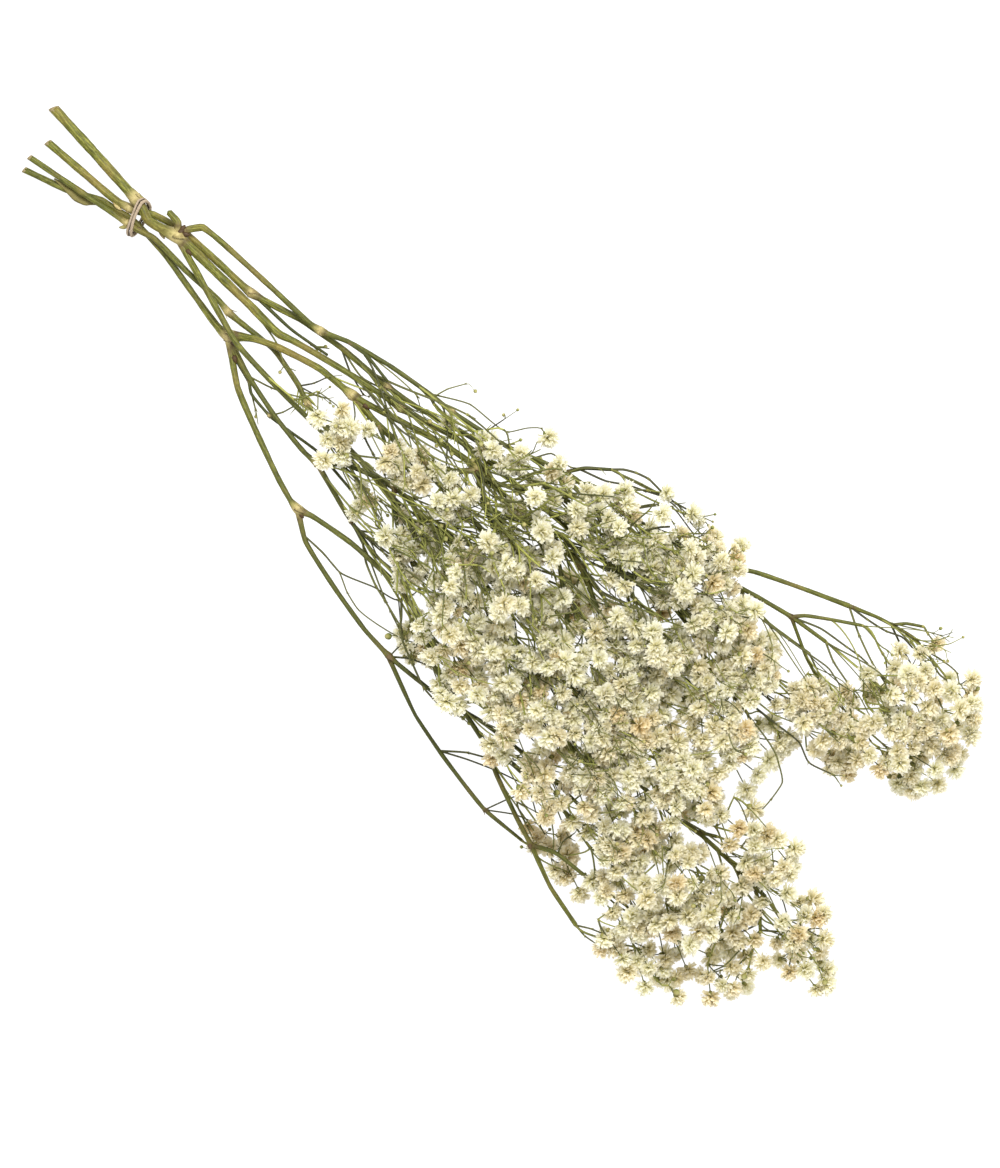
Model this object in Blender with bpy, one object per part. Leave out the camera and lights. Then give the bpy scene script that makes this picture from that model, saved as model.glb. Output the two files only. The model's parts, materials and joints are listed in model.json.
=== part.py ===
"""Lying bunch of four cut stems of dried gypsophila, held by a double-strand band.

+X runs from the cut ends to the flower tips, +Z is up, the surface is z = 0.
Positions and radii in the tables are millimetres; each row of a branch is x, y, z, radius.
"""
import math
import random

import bmesh
import bpy
import numpy as np

MM = 0.001
SEED = 41

BLOOM_RADIUS = 6.7       # centre to petal tip, larger than life so that fewer blooms cover
LONE_CLUMP = 0.6         # a clump narrower than this holds one smaller bloom
LONE_SHARE = 0.85        # radius of that bloom over the others
BLOOM_SPACING = 10.6     # between the centres of two blooms of one spray
CLUMP_EDGE = 1.15        # square of how far out in its clump a bloom may lie
SCATTER_TRIES = 160
LYING_HEIGHT = 0.72      # least height of a bloom centre over its radius
REST_HEIGHT = 6.0        # blooms this low lie on the surface
MID_HEIGHT = 26.0        # blooms above it lean up, blooms below it lean down
LEAN_UP = 0.7
LEAN_DOWN = -0.3
LEAN_SPREAD = 0.3

NODE_GAP = 0.35          # clearance kept between two nodes
BLOOM_REACH = 0.9        # share of a bloom radius that another node has to clear
STEM_REACH = 0.85        # share of a bloom radius kept clear of the stems
OWN_REACH = 0.6          # share of a bloom radius that a twig of the same spray has to clear
OWN_GAP = 0.15           # clearance between two twigs of one spray
ROOT_GAP = 0.3           # a spray starts this far past its branch tip
ROOT_SKIP = 2.2          # the start of a root twig is not tested against its own stem
ROOT_CLEAR = 3.0         # a bloom keeps this far from the root of its spray
TWIG_FLOOR = 0.4         # a twig keeps this far above the surface
LOWEST_FORK = 1.2
BOX_MARGIN = 14.0        # room round the blooms for twigs that swing out

PETALS = 5
NOTCH = 0.66             # radius between two petals over the radius at their tips
TIP_REACH = (0.9, 1.0)   # petal tips over the radius
NOTCH_SPREAD = (0.92, 1.08)
TIP_RISE = 0.26
TIP_SPREAD = 0.14
NOTCH_RISE = 0.05
HEART_RISE = 0.16
BASE_DROP = 0.42         # depth of the green cup under the petals over the radius
CUP_BITE = 0.14          # a stalk ends this far inside the cup, over the radius
CUP_RADIUS = 1.5

TWIG_RADIUS = 0.46
ROOT_RADIUS = 0.62
FORK_GROWTH = 1.15       # width of a fork over the width of its twigs
FORK_FOOT = 0.5          # foot and tip of the little pyramid at a fork, in fork widths
FORK_TIP = 0.9
PHASE_STEPS = 12         # turns tried to set a fork in line with its twigs
MIN_FORK = 3.4           # shortest twig between two forks
MIN_STALK = 2.0
MAX_TURN = 70.0          # degrees a twig may turn at a fork
STALK_TURN = 76.0        # degrees a stalk may turn
SISTER_COSINE = 0.88     # two twigs of one fork part by more than this
FORK_SHARE = 0.55        # a fork lies this far on the way to the middle of its blooms
FORK_NEAREST = 0.8       # and no further than this share of the way to the nearest bloom
FORK_LEAST = 0.12
FORK_STEP = 0.01         # the share gets this much smaller with every trial
FORK_TRIES = 90
FORK_SWAY = (0.8, 0.14)  # sideways reach of a fork, and its growth with every trial
STALK_TRIES = 40
STALK_SWAY = (1.0, 0.3)
STALK_BEND = (0.25, 0.7) # where along its way a bent stalk bends
GROW_ATTEMPTS = 20       # trees tried for a spray before blooms are left out

BRANCHES = {
    "stem_1": [
        [(-247.3, -0.9, 2.0, 2.0), (-222, -2.5, 4.4, 2.0), (-200, -4.1, 7.2, 2.0),
         (-196, -4.3, 7.8, 2.25), (-191, -5.5, 9.0, 1.9), (-186, -7.2, 10.0, 1.85),
         (-178, -5.4, 11.2, 1.85), (-174.5, -4.2, 11.8, 2.2), (-172, -3.4, 12.2, 2.75),
         (-168, -3.2, 12.8, 1.8), (-150, -3.2, 15.2, 1.7), (-130, -3.2, 17.8, 1.6),
         (-112, -3.3, 20.2, 1.6), (-107.5, -1.7, 20.8, 1.25), (-80, 5, 25, 1.15), (-60, 8.75, 29, 1.1),
         (-54, 9.6, 30, 1.5), (-30, 16.3, 34, 1.1), (-10, 19.2, 37, 1.05), (15, 20.8, 40.5, 1.0),
         (31, 22, 42.5, 1.0), (60.8, 23.5, 45, 0.95), (82.3, 29.2, 47.5, 1.2), (95, 27.6, 47.5, 0.8),
         (107.7, 23, 46.5, 0.7), (113, 20.6, 47.2, 0.6), (120, 20.4, 46.6, 0.5)],
        [(-173, -2.5, 12.6, 1.5), (-176, 0.9, 13.2, 1.45), (-181.8, 1.4, 13.6, 1.25)],
        [(-172.5, -2.0, 12.4, 1.6), (-170.5, 2.3, 13.2, 1.4), (-167, 6.6, 14.2, 1.4),
         (-163, 7.2, 14.8, 1.15), (-130, 8.4, 18.2, 1.05), (-105, 9.0, 21.4, 1.0),
         (-101, 9.6, 22.0, 1.5), (-90, 14.2, 24.0, 0.95), (-70, 19.2, 27.2, 0.85),
         (-50, 22.3, 30.0, 0.85), (-37.5, 23.5, 31.8, 1.15), (-10, 29.2, 35.5, 0.85),
         (14, 38, 40, 0.85), (40, 42, 43, 0.85), (65, 48, 46, 0.85), (84.6, 53.5, 48, 1.0),
         (100, 63, 47, 0.85), (120, 72.3, 45, 0.8), (137.7, 80, 43, 0.95)],
        [(84.6, 53.5, 48, 0.9), (88.5, 52, 48, 0.85), (110, 56.8, 46, 0.8), (123.6, 60, 45, 1.0),
         (141, 62.5, 44, 0.65)],
        [(123.6, 60, 45, 0.8), (127, 64, 45.5, 0.65), (136, 70.5, 46, 0.6), (147, 77.7, 46, 0.55)],
        [(123.6, 60, 45, 0.8), (126.4, 58.6, 44, 0.6), (140, 52.3, 41, 0.55), (150, 49, 39, 0.5)],
        [(98, 54.2, 47.2, 0.7), (103.6, 52.4, 46, 0.8), (118, 51.5, 43, 0.6), (140, 54.3, 39, 0.55)],
        [(137.7, 80, 43, 0.8), (150, 85, 41, 0.6), (167, 89.3, 40, 0.55), (176, 88.4, 40, 0.55)],
        [(-171.5, -3.8, 12.2, 1.5), (-165.5, -5.9, 13.2, 1.3), (-154.5, -9.1, 16.4, 1.25),
         (-140, -13.6, 19, 1.2), (-122.7, -18.6, 21.2, 1.1), (-100, -20, 23.4, 1.0),
         (-80, -20.4, 25.6, 0.9), (-74, -20.7, 26, 0.85)],
        [(-90, 14.2, 24.0, 0.7), (-80, 15.6, 27.5, 0.55), (-66, 13.9, 30.5, 0.5)],
        [(-50, 22.3, 30.0, 0.7), (-45.5, 20.6, 31.4, 0.5)],
        [(14, 38, 40, 0.8), (18.5, 44.6, 41.6, 0.65), (27, 52, 42, 0.6)],
        [(40, 42, 43, 0.8), (43, 40.4, 46.2, 0.6)],
        [(65, 48, 46, 0.8), (70, 50.8, 49, 0.6)],
        [(60.8, 23.5, 45, 0.8), (64.5, 27, 49, 0.65)],
        [(82.3, 29.2, 47.5, 0.9), (86, 33, 50.5, 0.65)],
        [(100, 26.2, 47.2, 0.8), (111, 31, 46.5, 0.6), (121, 35, 45.5, 0.55)],
        [(95, 27.6, 47.5, 0.8), (104, 15, 47, 0.6), (112, 7, 46, 0.55)],
        [(102, 25, 47, 0.7), (109, 27, 51, 0.6)],
        [(156, 86.6, 40.6, 0.6), (160, 91.3, 41.4, 0.5), (165.5, 95, 42.4, 0.45)],
        [(50, 22.8, 44.2, 0.7), (56, 24.6, 40, 0.55)],
    ],
    "stem_2": [
        [(-239.3, -12.9, 1.5, 1.5), (-220, -11.7, 2.6, 1.5), (-200, -10.3, 4.1, 1.5),
         (-195.5, -8.9, 4.7, 1.75), (-191, -6.8, 5.0, 1.4), (-186, -3.9, 5.7, 1.4),
         (-174.5, -0.6, 7.4, 1.4), (-150, 0.5, 11.6, 1.4), (-133.2, 0.9, 14.2, 1.8),
         (-128, 2.2, 14.8, 1.3), (-110, 7.4, 16.2, 1.2), (-90, 10.6, 19, 1.1),
         (-64.6, 12.3, 23.4, 1.4), (-50, 14.6, 25.5, 0.95), (-30, 20, 28.6, 0.95),
         (-10, 24.2, 31.6, 0.9), (10, 27.5, 34.5, 0.9), (50, 34, 38.5, 0.8), (90, 40, 40, 0.7)],
        [(-131, 1.2, 14.4, 0.7), (-110, 1.6, 16.6, 0.5), (-92, 4.4, 19, 0.45)],
        [(10, 27.5, 34.5, 0.8), (15, 29, 37.5, 0.6)],
        [(50, 34, 38.5, 0.7), (56, 36.5, 34, 0.55)],
    ],
    "stem_3": [
        [(-240.5, -22.7, 3.4, 1.1), (-225, -20, 4.3, 1.1), (-212, -17.7, 5.3, 1.15),
         (-200, -15.5, 6.7, 1.1), (-191.8, -14.3, 7.7, 1.25), (-186.4, -13.2, 8.7, 1.1),
         (-180, -11.1, 9.5, 1.1), (-160, -11.4, 10.8, 1.1), (-140, -10.9, 11.8, 1.1),
         (-135, -11.6, 12.2, 1.45), (-130, -11.3, 12.6, 1.1), (-110, -9.6, 14, 1.0),
         (-91.7, -13.3, 16.5, 1.0), (-84, -16.2, 18, 1.2), (-60, -17.5, 21, 0.95),
         (-45, -18, 23, 0.95), (-30, -20, 24, 0.95), (-10, -22, 26, 0.9), (30, -26, 30, 0.85),
         (70, -28, 33, 0.8), (110, -26, 34, 0.7)],
        [(-30, -20, 24, 0.8), (-25, -22.5, 26.5, 0.6)],
        [(30, -26, 30, 0.7), (36, -29, 25.5, 0.55)],
        [(70, -28, 33, 0.7), (76, -25, 28.5, 0.55)],
    ],
    "stem_4": [
        [(-238.6, -28, 1.2, 1.2), (-228, -24.5, 1.5, 1.2), (-220, -21.8, 1.9, 1.2),
         (-212, -17.6, 2.2, 1.15), (-206.4, -14.7, 2.7, 1.15), (-199, -13.2, 3.6, 1.15),
         (-191, -11.6, 4.6, 1.15), (-186, -11.6, 5.3, 1.15), (-172.7, -12.4, 6.6, 1.15),
         (-150, -16.4, 10, 1.15), (-131, -19.2, 13.4, 1.4), (-127.5, -18.6, 14, 2.3),
         (-123.5, -15.3, 15.6, 1.5), (-119, -12.2, 17.4, 1.35), (-110, -8, 19.2, 1.3),
         (-90, -2, 22.4, 1.25), (-76, -0.8, 24.6, 1.25), (-72.5, -0.5, 25.2, 1.8), (-50, 5.8, 30, 1.2),
         (-30, 11.3, 35, 1.15), (-13, 14, 38.5, 1.7), (14.6, 12.7, 43, 1.1), (29.6, 14.2, 45, 1.4),
         (45.4, 14.6, 47, 1.5), (60, 7.7, 47.4, 0.9), (67, 5, 47, 0.8)],
        [(-72.5, -0.5, 25.2, 1.5), (-60, -1.7, 26, 1.2), (-30, -1.7, 30, 1.1), (15, -4, 36, 1.0),
         (34, -6, 38.5, 0.8)],
        [(-56, -1.7, 26.5, 0.9), (-49, -5.2, 31, 0.6)],
        [(25, -5, 37.2, 0.8), (36, -1, 35, 0.6)],
        [(-13, 13.2, 38.5, 1.3), (-20, 5.8, 40, 1.1), (-31.7, 0.8, 41, 1.15), (-27, -0.6, 41.4, 0.8)],
        [(-12.4, 13.2, 38.7, 1.2), (-4, 6, 40, 0.9), (9, 0.4, 41.4, 0.7)],
        [(29.6, 14.2, 45, 1.0), (40, 7.7, 46, 0.8), (60, -8, 47, 0.8), (77, -20, 46, 0.8),
         (98.5, -33.8, 43, 0.85), (115, -34, 40.5, 0.8), (146, -33.5, 36, 1.15),
         (160, -31.5, 33.6, 0.8), (185, -31, 29, 0.75), (197.5, -31.5, 27, 0.8)],
        [(77, -20, 46, 0.7), (84, -20.5, 48.6, 0.6)],
        [(90, -28.2, 44.3, 0.7), (88, -35.6, 45.6, 0.6), (92, -41, 46, 0.55)],
        [(69, -14, 46.5, 0.7), (69, -19, 48.6, 0.6), (71, -22, 49.4, 0.5)],
        [(146, -33.5, 36, 0.9), (151, -39, 36, 0.6)],
        [(158, -31.6, 33.9, 0.7), (165, -27.5, 35, 0.6)],
        [(191, -31.3, 28, 0.8), (198, -35.5, 26, 0.65), (206, -43, 24, 0.6)],
        [(180, -31.2, 30, 0.7), (188, -35, 27, 0.6)],
        [(115, -34, 40.5, 0.7), (124, -28, 42, 0.6)],
        [(-126, -20, 14, 1.7), (-120, -24.5, 14.6, 1.2), (-110, -31.5, 15.8, 1.2),
         (-90, -40, 17.8, 1.15), (-70, -47.5, 19.8, 1.05), (-60, -50.4, 21, 1.0),
         (-56, -50.8, 21.4, 1.7), (-50, -48.8, 22.4, 1.0), (-30, -45.4, 25.6, 1.0),
         (0, -45, 29.4, 1.0), (15, -49, 31, 0.95), (29, -57, 32, 0.95), (49, -62.3, 31.6, 0.9),
         (68.8, -67, 30, 1.2), (80, -72.3, 29, 0.85), (100, -80, 28, 0.85), (112, -84, 27.4, 1.2),
         (130, -91, 24.5, 0.75), (149, -95.2, 22.5, 0.8)],
        [(-55.5, -51.2, 21.2, 1.2), (-45, -57.9, 20.8, 0.9), (-20, -64.2, 20.8, 0.9),
         (0, -67.7, 21.4, 0.85), (14.6, -68.5, 22, 1.5), (40, -66.2, 22.4, 0.7),
         (60, -61.5, 22.4, 0.7), (90, -58, 23, 0.65), (115, -58, 24, 0.6)],
        [(14.6, -69, 22, 0.9), (40, -78.8, 20, 0.6), (57, -82.5, 19, 0.75), (88, -87, 18, 0.75),
         (108, -85.5, 17, 0.55)],
        [(68.8, -66.6, 30, 0.9), (80, -65.2, 31.5, 0.75), (106, -64.2, 33.5, 0.7),
         (116, -64, 34, 0.65)],
        [(112, -84, 27.4, 0.9), (121, -79.4, 28.4, 0.75), (138, -77.5, 28.6, 0.65)],
        [(-126.5, -19.8, 14.2, 1.5), (-110, -25, 16.4, 0.95), (-90, -29.4, 18.8, 0.9),
         (-70, -31.7, 21.4, 0.9), (-63.3, -31.3, 22.4, 1.4), (-55, -23.8, 25.6, 0.8),
         (-45, -19.6, 29, 0.8), (-34, -15.5, 31.6, 1.2), (-20, -16.3, 33.6, 0.75),
         (0, -16.3, 36.6, 0.75), (20, -15.4, 39.6, 0.65)],
        [(-33.6, -15.8, 31.6, 0.9), (-29, -20.5, 32, 0.65), (-20, -27.5, 32, 0.65),
         (-10, -32, 32, 0.65), (0, -36, 32.6, 0.7)],
        [(-62.5, -31.6, 22.2, 1.0), (-36.7, -38.8, 22.6, 0.8), (-20, -42, 23, 0.6),
         (-8, -42, 23.6, 0.55)],
        [(-110, -25, 16.4, 0.6), (-104, -29.4, 16.6, 0.5), (-92, -30.8, 17.4, 0.65),
         (-66, -27.6, 19.4, 0.45), (-46, -29.4, 21.4, 0.45)],
        [(15, -49, 31, 0.8), (19, -50.6, 34.6, 0.6)],
        [(0, -16.3, 36.6, 0.7), (3, -19.5, 39.5, 0.55)],
        [(76, -65.6, 31, 0.7), (84, -64.4, 35, 0.6)],
        [(49, -62.3, 31.6, 0.7), (52, -58.6, 34.8, 0.6)],
    ],
}

# x, y, z, half width of the scrap of leaf
LEAF_SCRAP = [(-226, -22.6, 3.0, 0.5), (-220, -20.8, 3.0, 1.2), (-214, -20.6, 2.7, 1.9),
              (-208.5, -18.2, 2.5, 0.4)]
LEAF_THICKNESS = 0.8

# middle line of the band
TIE_PATH = [
    (-193.6, -4.0, 12.3), (-192.7, -7.0, 12.5), (-191.3, -10.5, 11.7), (-189.7, -13.7, 10.7),
    (-188.2, -16.3, 8.6), (-187.3, -16.9, 6.2), (-186.9, -15.2, 3.7), (-187.2, -12.0, 2.1),
    (-188.0, -8.4, 1.9), (-188.9, -5.2, 2.3), (-190.0, -2.8, 4.2), (-191.5, -1.9, 7.2),
    (-193.0, -2.2, 10.3),
]
TIE_STEPS = 26
TIE_STRAND_RADIUS = 0.72
TIE_STRAND_PITCH = 1.25  # between the centres of the two strands
TIE_WEB = 0.5            # height of the waist between the strands over the strand radius
TIE_FLAT = 0.3           # half width of the flat top of a strand over the strand radius
CURVE_STEPS = 8

# name, root x y z, clumps of blooms: centre x y z, half sizes x y z, blooms
SPRAYS = [
    ("spray_01", (-74, -20.7, 26), [(-64, -8, 34, 7, 8, 8, 3), (-60, -23, 34, 7, 8, 8, 3)]),
    ("spray_02", (-45.5, 20.6, 31.4), [(-34, 18, 36, 2, 2, 2, 1), (-17, 23, 43, 3, 2, 2, 1),
                                       (-4, 25, 46, 3, 2, 2, 1)]),
    ("spray_03", (27, 52, 42), [(41, 49, 50, 6, 4, 5, 2), (49, 61, 44, 2, 1.5, 2, 1),
                                (67, 63, 45, 2, 2, 2, 1)]),
    ("spray_04", (43, 40.4, 46.2), [(56, 38, 57, 13, 11, 8, 6)]),
    ("spray_05", (70, 50.8, 49), [(87, 55, 55, 11, 9, 10, 6)]),
    ("spray_06", (176, 88.4, 40), [(197, 86, 38, 10, 7, 11, 5), (210, 78, 30, 6, 8, 9, 3)]),
    ("spray_07", (147, 77.7, 46), [(178, 79, 50, 11, 8, 8, 4), (173, 70, 26, 10, 9, 11, 4)]),
    ("spray_08", (141, 62.5, 44), [(190, 65, 42, 13, 9, 11, 6), (163, 64, 44, 7, 6, 7, 2),
                                   (211, 64, 26, 6, 7, 9, 2)]),
    ("spray_09", (150, 49, 39), [(184, 50, 42, 14, 9, 10, 5), (207, 50, 24, 9, 8, 11, 4)]),
    ("spray_10", (64.5, 27, 49), [(74, 38, 60, 10, 9, 7, 5)]),
    ("spray_11", (86, 33, 50.5), [(100, 41, 59, 12, 9, 8, 6)]),
    ("spray_12", (109, 27, 51), [(124, 27, 56, 10, 12, 8, 6)]),
    ("spray_13", (121, 35, 45.5), [(158, 41, 42, 14, 10, 9, 5), (179, 34, 26, 8, 8, 12, 3),
                                   (172, 44, 5, 4, 4, 0.5, 1)]),
    ("spray_14", (112, 7, 46), [(134, 4, 50, 13, 11, 10, 7)]),
    ("spray_15", (15, 29, 37.5), [(28, 32, 47, 14, 9, 9, 6)]),
    ("spray_16", (56, 36.5, 34), [(72, 42, 13, 15, 12, 10, 6), (80, 46, 5, 3, 3, 0.5, 1)]),
    ("spray_17", (90, 40, 40), [(122, 38, 18, 18, 12, 14, 6)]),
    ("spray_18", (-25, -22.5, 26.5), [(-11, -27, 36, 8, 8, 8, 3), (-3, -41, 37, 2, 2, 2, 1)]),
    ("spray_19", (36, -29, 25.5), [(52, -37, 14, 15, 12, 10, 6), (62, -47, 5, 3, 3, 0.5, 1)]),
    ("spray_20", (76, -25, 28.5), [(94, -20, 15, 15, 16, 11, 6)]),
    ("spray_21", (110, -26, 34), [(136, -16, 18, 15, 14, 12, 6)]),
    ("spray_22", (-27, -0.6, 41.4), [(-12, -3, 46, 8, 8, 7, 4)]),
    ("spray_23", (-49, -5.2, 31), [(-35, -6.5, 39, 7, 7, 7, 4)]),
    ("spray_24", (34, -6, 38.5), [(49, -9, 52, 9, 9, 8, 5)]),
    ("spray_25", (9, 0.4, 41.4), [(24, 6, 51, 11, 8, 8, 4), (28, -8, 52, 10, 7, 8, 4)]),
    ("spray_26", (67, 5, 47), [(79, 11, 58, 6, 6, 5, 2), (90, -5, 57, 13, 11, 8, 6)]),
    ("spray_27", (84, -20.5, 48.6), [(103, -21, 57, 13, 11, 8, 6)]),
    ("spray_28", (92, -41, 46), [(107, -43, 53, 12, 10, 9, 6)]),
    ("spray_29", (124, -28, 42), [(137, -19, 51, 12, 11, 8, 5), (152, -20, 38, 10, 9, 10, 4)]),
    ("spray_30", (197.5, -31.5, 27), [(242.5, -40, 20, 0.5, 0.5, 1, 1), (229, -38, 20, 12, 12, 11, 5),
                                      (217, -24, 27, 8, 9, 9, 3)]),
    ("spray_31", (20, -15.4, 39.6), [(64, -23, 58, 12, 9, 7, 4), (42, -22, 53, 9, 6, 6, 3)]),
    ("spray_32", (0, -36, 32.6), [(26, -35, 49, 12, 9, 8, 5), (48, -37, 54, 9, 8, 8, 4)]),
    ("spray_33", (19, -50.6, 34.6), [(34, -51, 43, 10, 9, 8, 5)]),
    ("spray_34", (52, -58.6, 34.8), [(67, -48, 48, 10, 9, 9, 5), (72, -60, 39, 8, 6, 7, 2)]),
    ("spray_35", (116, -64, 34), [(136, -55, 43, 14, 12, 9, 7)]),
    ("spray_36", (115, -58, 24), [(144, -50, 13, 17, 14, 9, 6)]),
    ("spray_37", (108, -85.5, 17), [(124, -79, 17, 10, 7, 10, 4)]),
    ("spray_38", (138, -77.5, 28.6), [(159, -72, 32, 13, 9, 12, 6)]),
    ("spray_39", (149, -95.2, 22.5), [(172, -86, 22, 13, 7, 12, 5), (193, -81, 17, 8, 7, 11, 3)]),
    ("spray_40", (-46, -29.4, 21.4), [(-34, -29, 28, 4, 6, 5, 2)]),
    ("spray_41", (-8, -42, 23.6), [(16, -56, 16, 10, 8, 10, 4)]),
    ("spray_42", (165.5, 95, 42.4), [(175.5, 93.4, 44, 0.5, 0.5, 1, 1)]),
    ("spray_43", (206, -43, 24), [(213, -60, 18, 9, 11, 12, 5), (204, -75, 13, 6, 6, 8, 2)]),
    ("spray_44", (84, -64.4, 35), [(100, -61, 43, 11, 9, 9, 6)]),
    ("spray_45", (71, -22, 49.4), [(80, -35, 56, 7, 8, 7, 4)]),
    ("spray_46", (3, -19.5, 39.5), [(13, -21, 48, 10, 8, 8, 5)]),
    ("spray_47", (151, -39, 36), [(160, -49, 43, 11, 9, 9, 4), (179, -53, 35, 11, 11, 11, 5)]),
    ("spray_48", (120, 20.4, 46.6), [(149, 18, 43, 14, 12, 10, 6)]),
    ("spray_49", (165, -27.5, 35), [(184, -19, 36, 13, 9, 10, 6)]),
    ("spray_50", (36, -1, 35), [(58, 4, 24, 13, 13, 13, 5)]),
    ("spray_51", (56, 24.6, 40), [(84, 18, 34, 14, 11, 11, 5)]),
    ("spray_52", (188, -35, 27), [(194, -49, 20, 10, 9, 12, 4), (198, -58, 5, 3, 3, 0.5, 1)]),
]

# least radius of the thickest place of a branch, and its number of sides
SIDES = [(1.6, 7), (0.9, 5), (0.0, 4)]
STEM_COLOUR = (0.20, 0.21, 0.06, 1.0)
BLOOM_COLOUR = (0.78, 0.70, 0.49, 1.0)
TIE_COLOUR = (0.50, 0.41, 0.31, 1.0)
STEM_ROUGHNESS = 0.6
BLOOM_ROUGHNESS = 0.8
TIE_ROUGHNESS = 0.75


def unit(v):
    """Vector of length one along v."""
    length = math.sqrt(float(np.dot(v, v)))
    return v / length if length > 1e-9 else np.array([0.0, 0.0, 1.0])


def gap_to_rods(a, b, starts, ends, radii):
    """Smallest distance from the segment a-b to the surfaces of many rods."""
    if len(radii) == 0:
        return 1e9
    d1 = b - a
    d2 = ends - starts
    r = a - starts
    aa = max(float(d1 @ d1), 1e-12)
    ee = np.maximum(np.einsum("ij,ij->i", d2, d2), 1e-12)
    ff = np.einsum("ij,ij->i", d2, r)
    cc = r @ d1
    bb = d2 @ d1
    denom = aa * ee - bb * bb
    s = np.where(denom > 1e-9, (bb * ff - cc * ee) / np.maximum(denom, 1e-9), 0.0)
    s = np.clip(s, 0.0, 1.0)
    t = np.clip((bb * s + ff) / ee, 0.0, 1.0)
    s = np.clip((bb * t - cc) / aa, 0.0, 1.0)
    apart = (a + s[:, None] * d1) - (starts + t[:, None] * d2)
    return float(np.min(np.sqrt(np.einsum("ij,ij->i", apart, apart)) - radii))


def gap_to_balls(a, b, centres, radii):
    """Smallest distance from the segment a-b to the surfaces of many balls."""
    if len(radii) == 0:
        return 1e9
    d = b - a
    t = np.clip(((centres - a) @ d) / max(float(d @ d), 1e-12), 0.0, 1.0)
    apart = centres - (a + t[:, None] * d)
    return float(np.min(np.sqrt(np.einsum("ij,ij->i", apart, apart)) - radii))


class Room:
    """What is already standing: rods and blooms with the node each belongs to."""

    def __init__(self):
        self.starts = []
        self.ends = []
        self.rod_radii = []
        self.rod_owner = []
        self.balls = []
        self.ball_radii = []
        self.ball_owner = []

    def add_rod(self, a, b, radius, owner):
        """Store one rod."""
        self.starts.append(a)
        self.ends.append(b)
        self.rod_radii.append(radius)
        self.rod_owner.append(owner)

    def add_ball(self, centre, radius, owner):
        """Store one bloom."""
        self.balls.append(centre)
        self.ball_radii.append(radius)
        self.ball_owner.append(owner)

    def others(self, owner, low, high):
        """Arrays of everything near a box that does not belong to the owner."""
        rods = [i for i, who in enumerate(self.rod_owner) if who != owner
                and np.all(np.minimum(self.starts[i], self.ends[i]) < high)
                and np.all(np.maximum(self.starts[i], self.ends[i]) > low)]
        balls = [i for i, who in enumerate(self.ball_owner) if who != owner
                 and np.all(self.balls[i] < high) and np.all(self.balls[i] > low)]
        return (np.array([self.starts[i] for i in rods]).reshape(-1, 3),
                np.array([self.ends[i] for i in rods]).reshape(-1, 3),
                np.array([self.rod_radii[i] for i in rods]),
                np.array([self.balls[i] for i in balls]).reshape(-1, 3),
                np.array([self.ball_radii[i] for i in balls]) * BLOOM_REACH)


def stem_rods(room):
    """Fill the room with the rods of the four stems."""
    for name, branches in BRANCHES.items():
        for rows in branches:
            for p, q in zip(rows, rows[1:]):
                room.add_rod(np.array(p[:3], float), np.array(q[:3], float), max(p[3], q[3]), name)


def box_round(points):
    """Corners of a box round the points, with room for twigs that swing out."""
    points = np.array(points)
    return points.min(axis=0) - BOX_MARGIN, points.max(axis=0) + BOX_MARGIN


def scatter_blooms(room, rng):
    """Draw the blooms of every spray inside its clumps, clear of stems and of each other."""
    blooms = {}
    for name, root, clumps in SPRAYS:
        root = np.array(root, float)
        chosen = []
        near = [np.array(clump[:3]) + side * np.array(clump[3:6]) for clump in clumps for side in (-1, 1)]
        low, high = box_round(near)
        starts, ends, radii, balls, ball_radii = room.others(name, low, high)
        for cx, cy, cz, hx, hy, hz, count in clumps:
            radius = BLOOM_RADIUS if hx > LONE_CLUMP else BLOOM_RADIUS * LONE_SHARE
            for _ in range(count):
                for _ in range(SCATTER_TRIES):
                    u = np.array([rng.uniform(-1, 1) for _ in range(3)])
                    if float(u @ u) > CLUMP_EDGE:
                        continue
                    p = np.array([cx, cy, cz]) + u * np.array([hx, hy, hz])
                    p[2] = max(p[2], radius * LYING_HEIGHT)
                    if np.linalg.norm(p - root) < radius + ROOT_CLEAR:
                        continue
                    if any(np.linalg.norm(p - q) < BLOOM_SPACING for q, _ in chosen):
                        continue
                    if gap_to_balls(p, p, balls, ball_radii) < radius * BLOOM_REACH + NODE_GAP:
                        continue
                    if gap_to_rods(p, p, starts, ends, radii) < radius * STEM_REACH + NODE_GAP:
                        continue
                    chosen.append((p, radius))
                    break
        for p, radius in chosen:
            room.add_ball(p, radius, name)
        blooms[name] = chosen
    return blooms


def split_group(group):
    """Split blooms in two along their longest spread."""
    points = np.array([p for p, _ in group])
    spread = points - points.mean(axis=0)
    axis = np.linalg.eigh(spread.T @ spread)[1][:, -1]
    if axis[np.argmax(np.abs(axis))] < 0:
        axis = -axis
    order = sorted(range(len(group)), key=lambda i: float(spread[i] @ axis))
    half = len(order) // 2
    return [group[i] for i in order[:half]], [group[i] for i in order[half:]]


def turn_of(direction, a, b):
    """Degrees between a direction and the way from a to b."""
    return math.degrees(math.acos(max(-1.0, min(1.0, float(direction @ unit(b - a))))))


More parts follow.
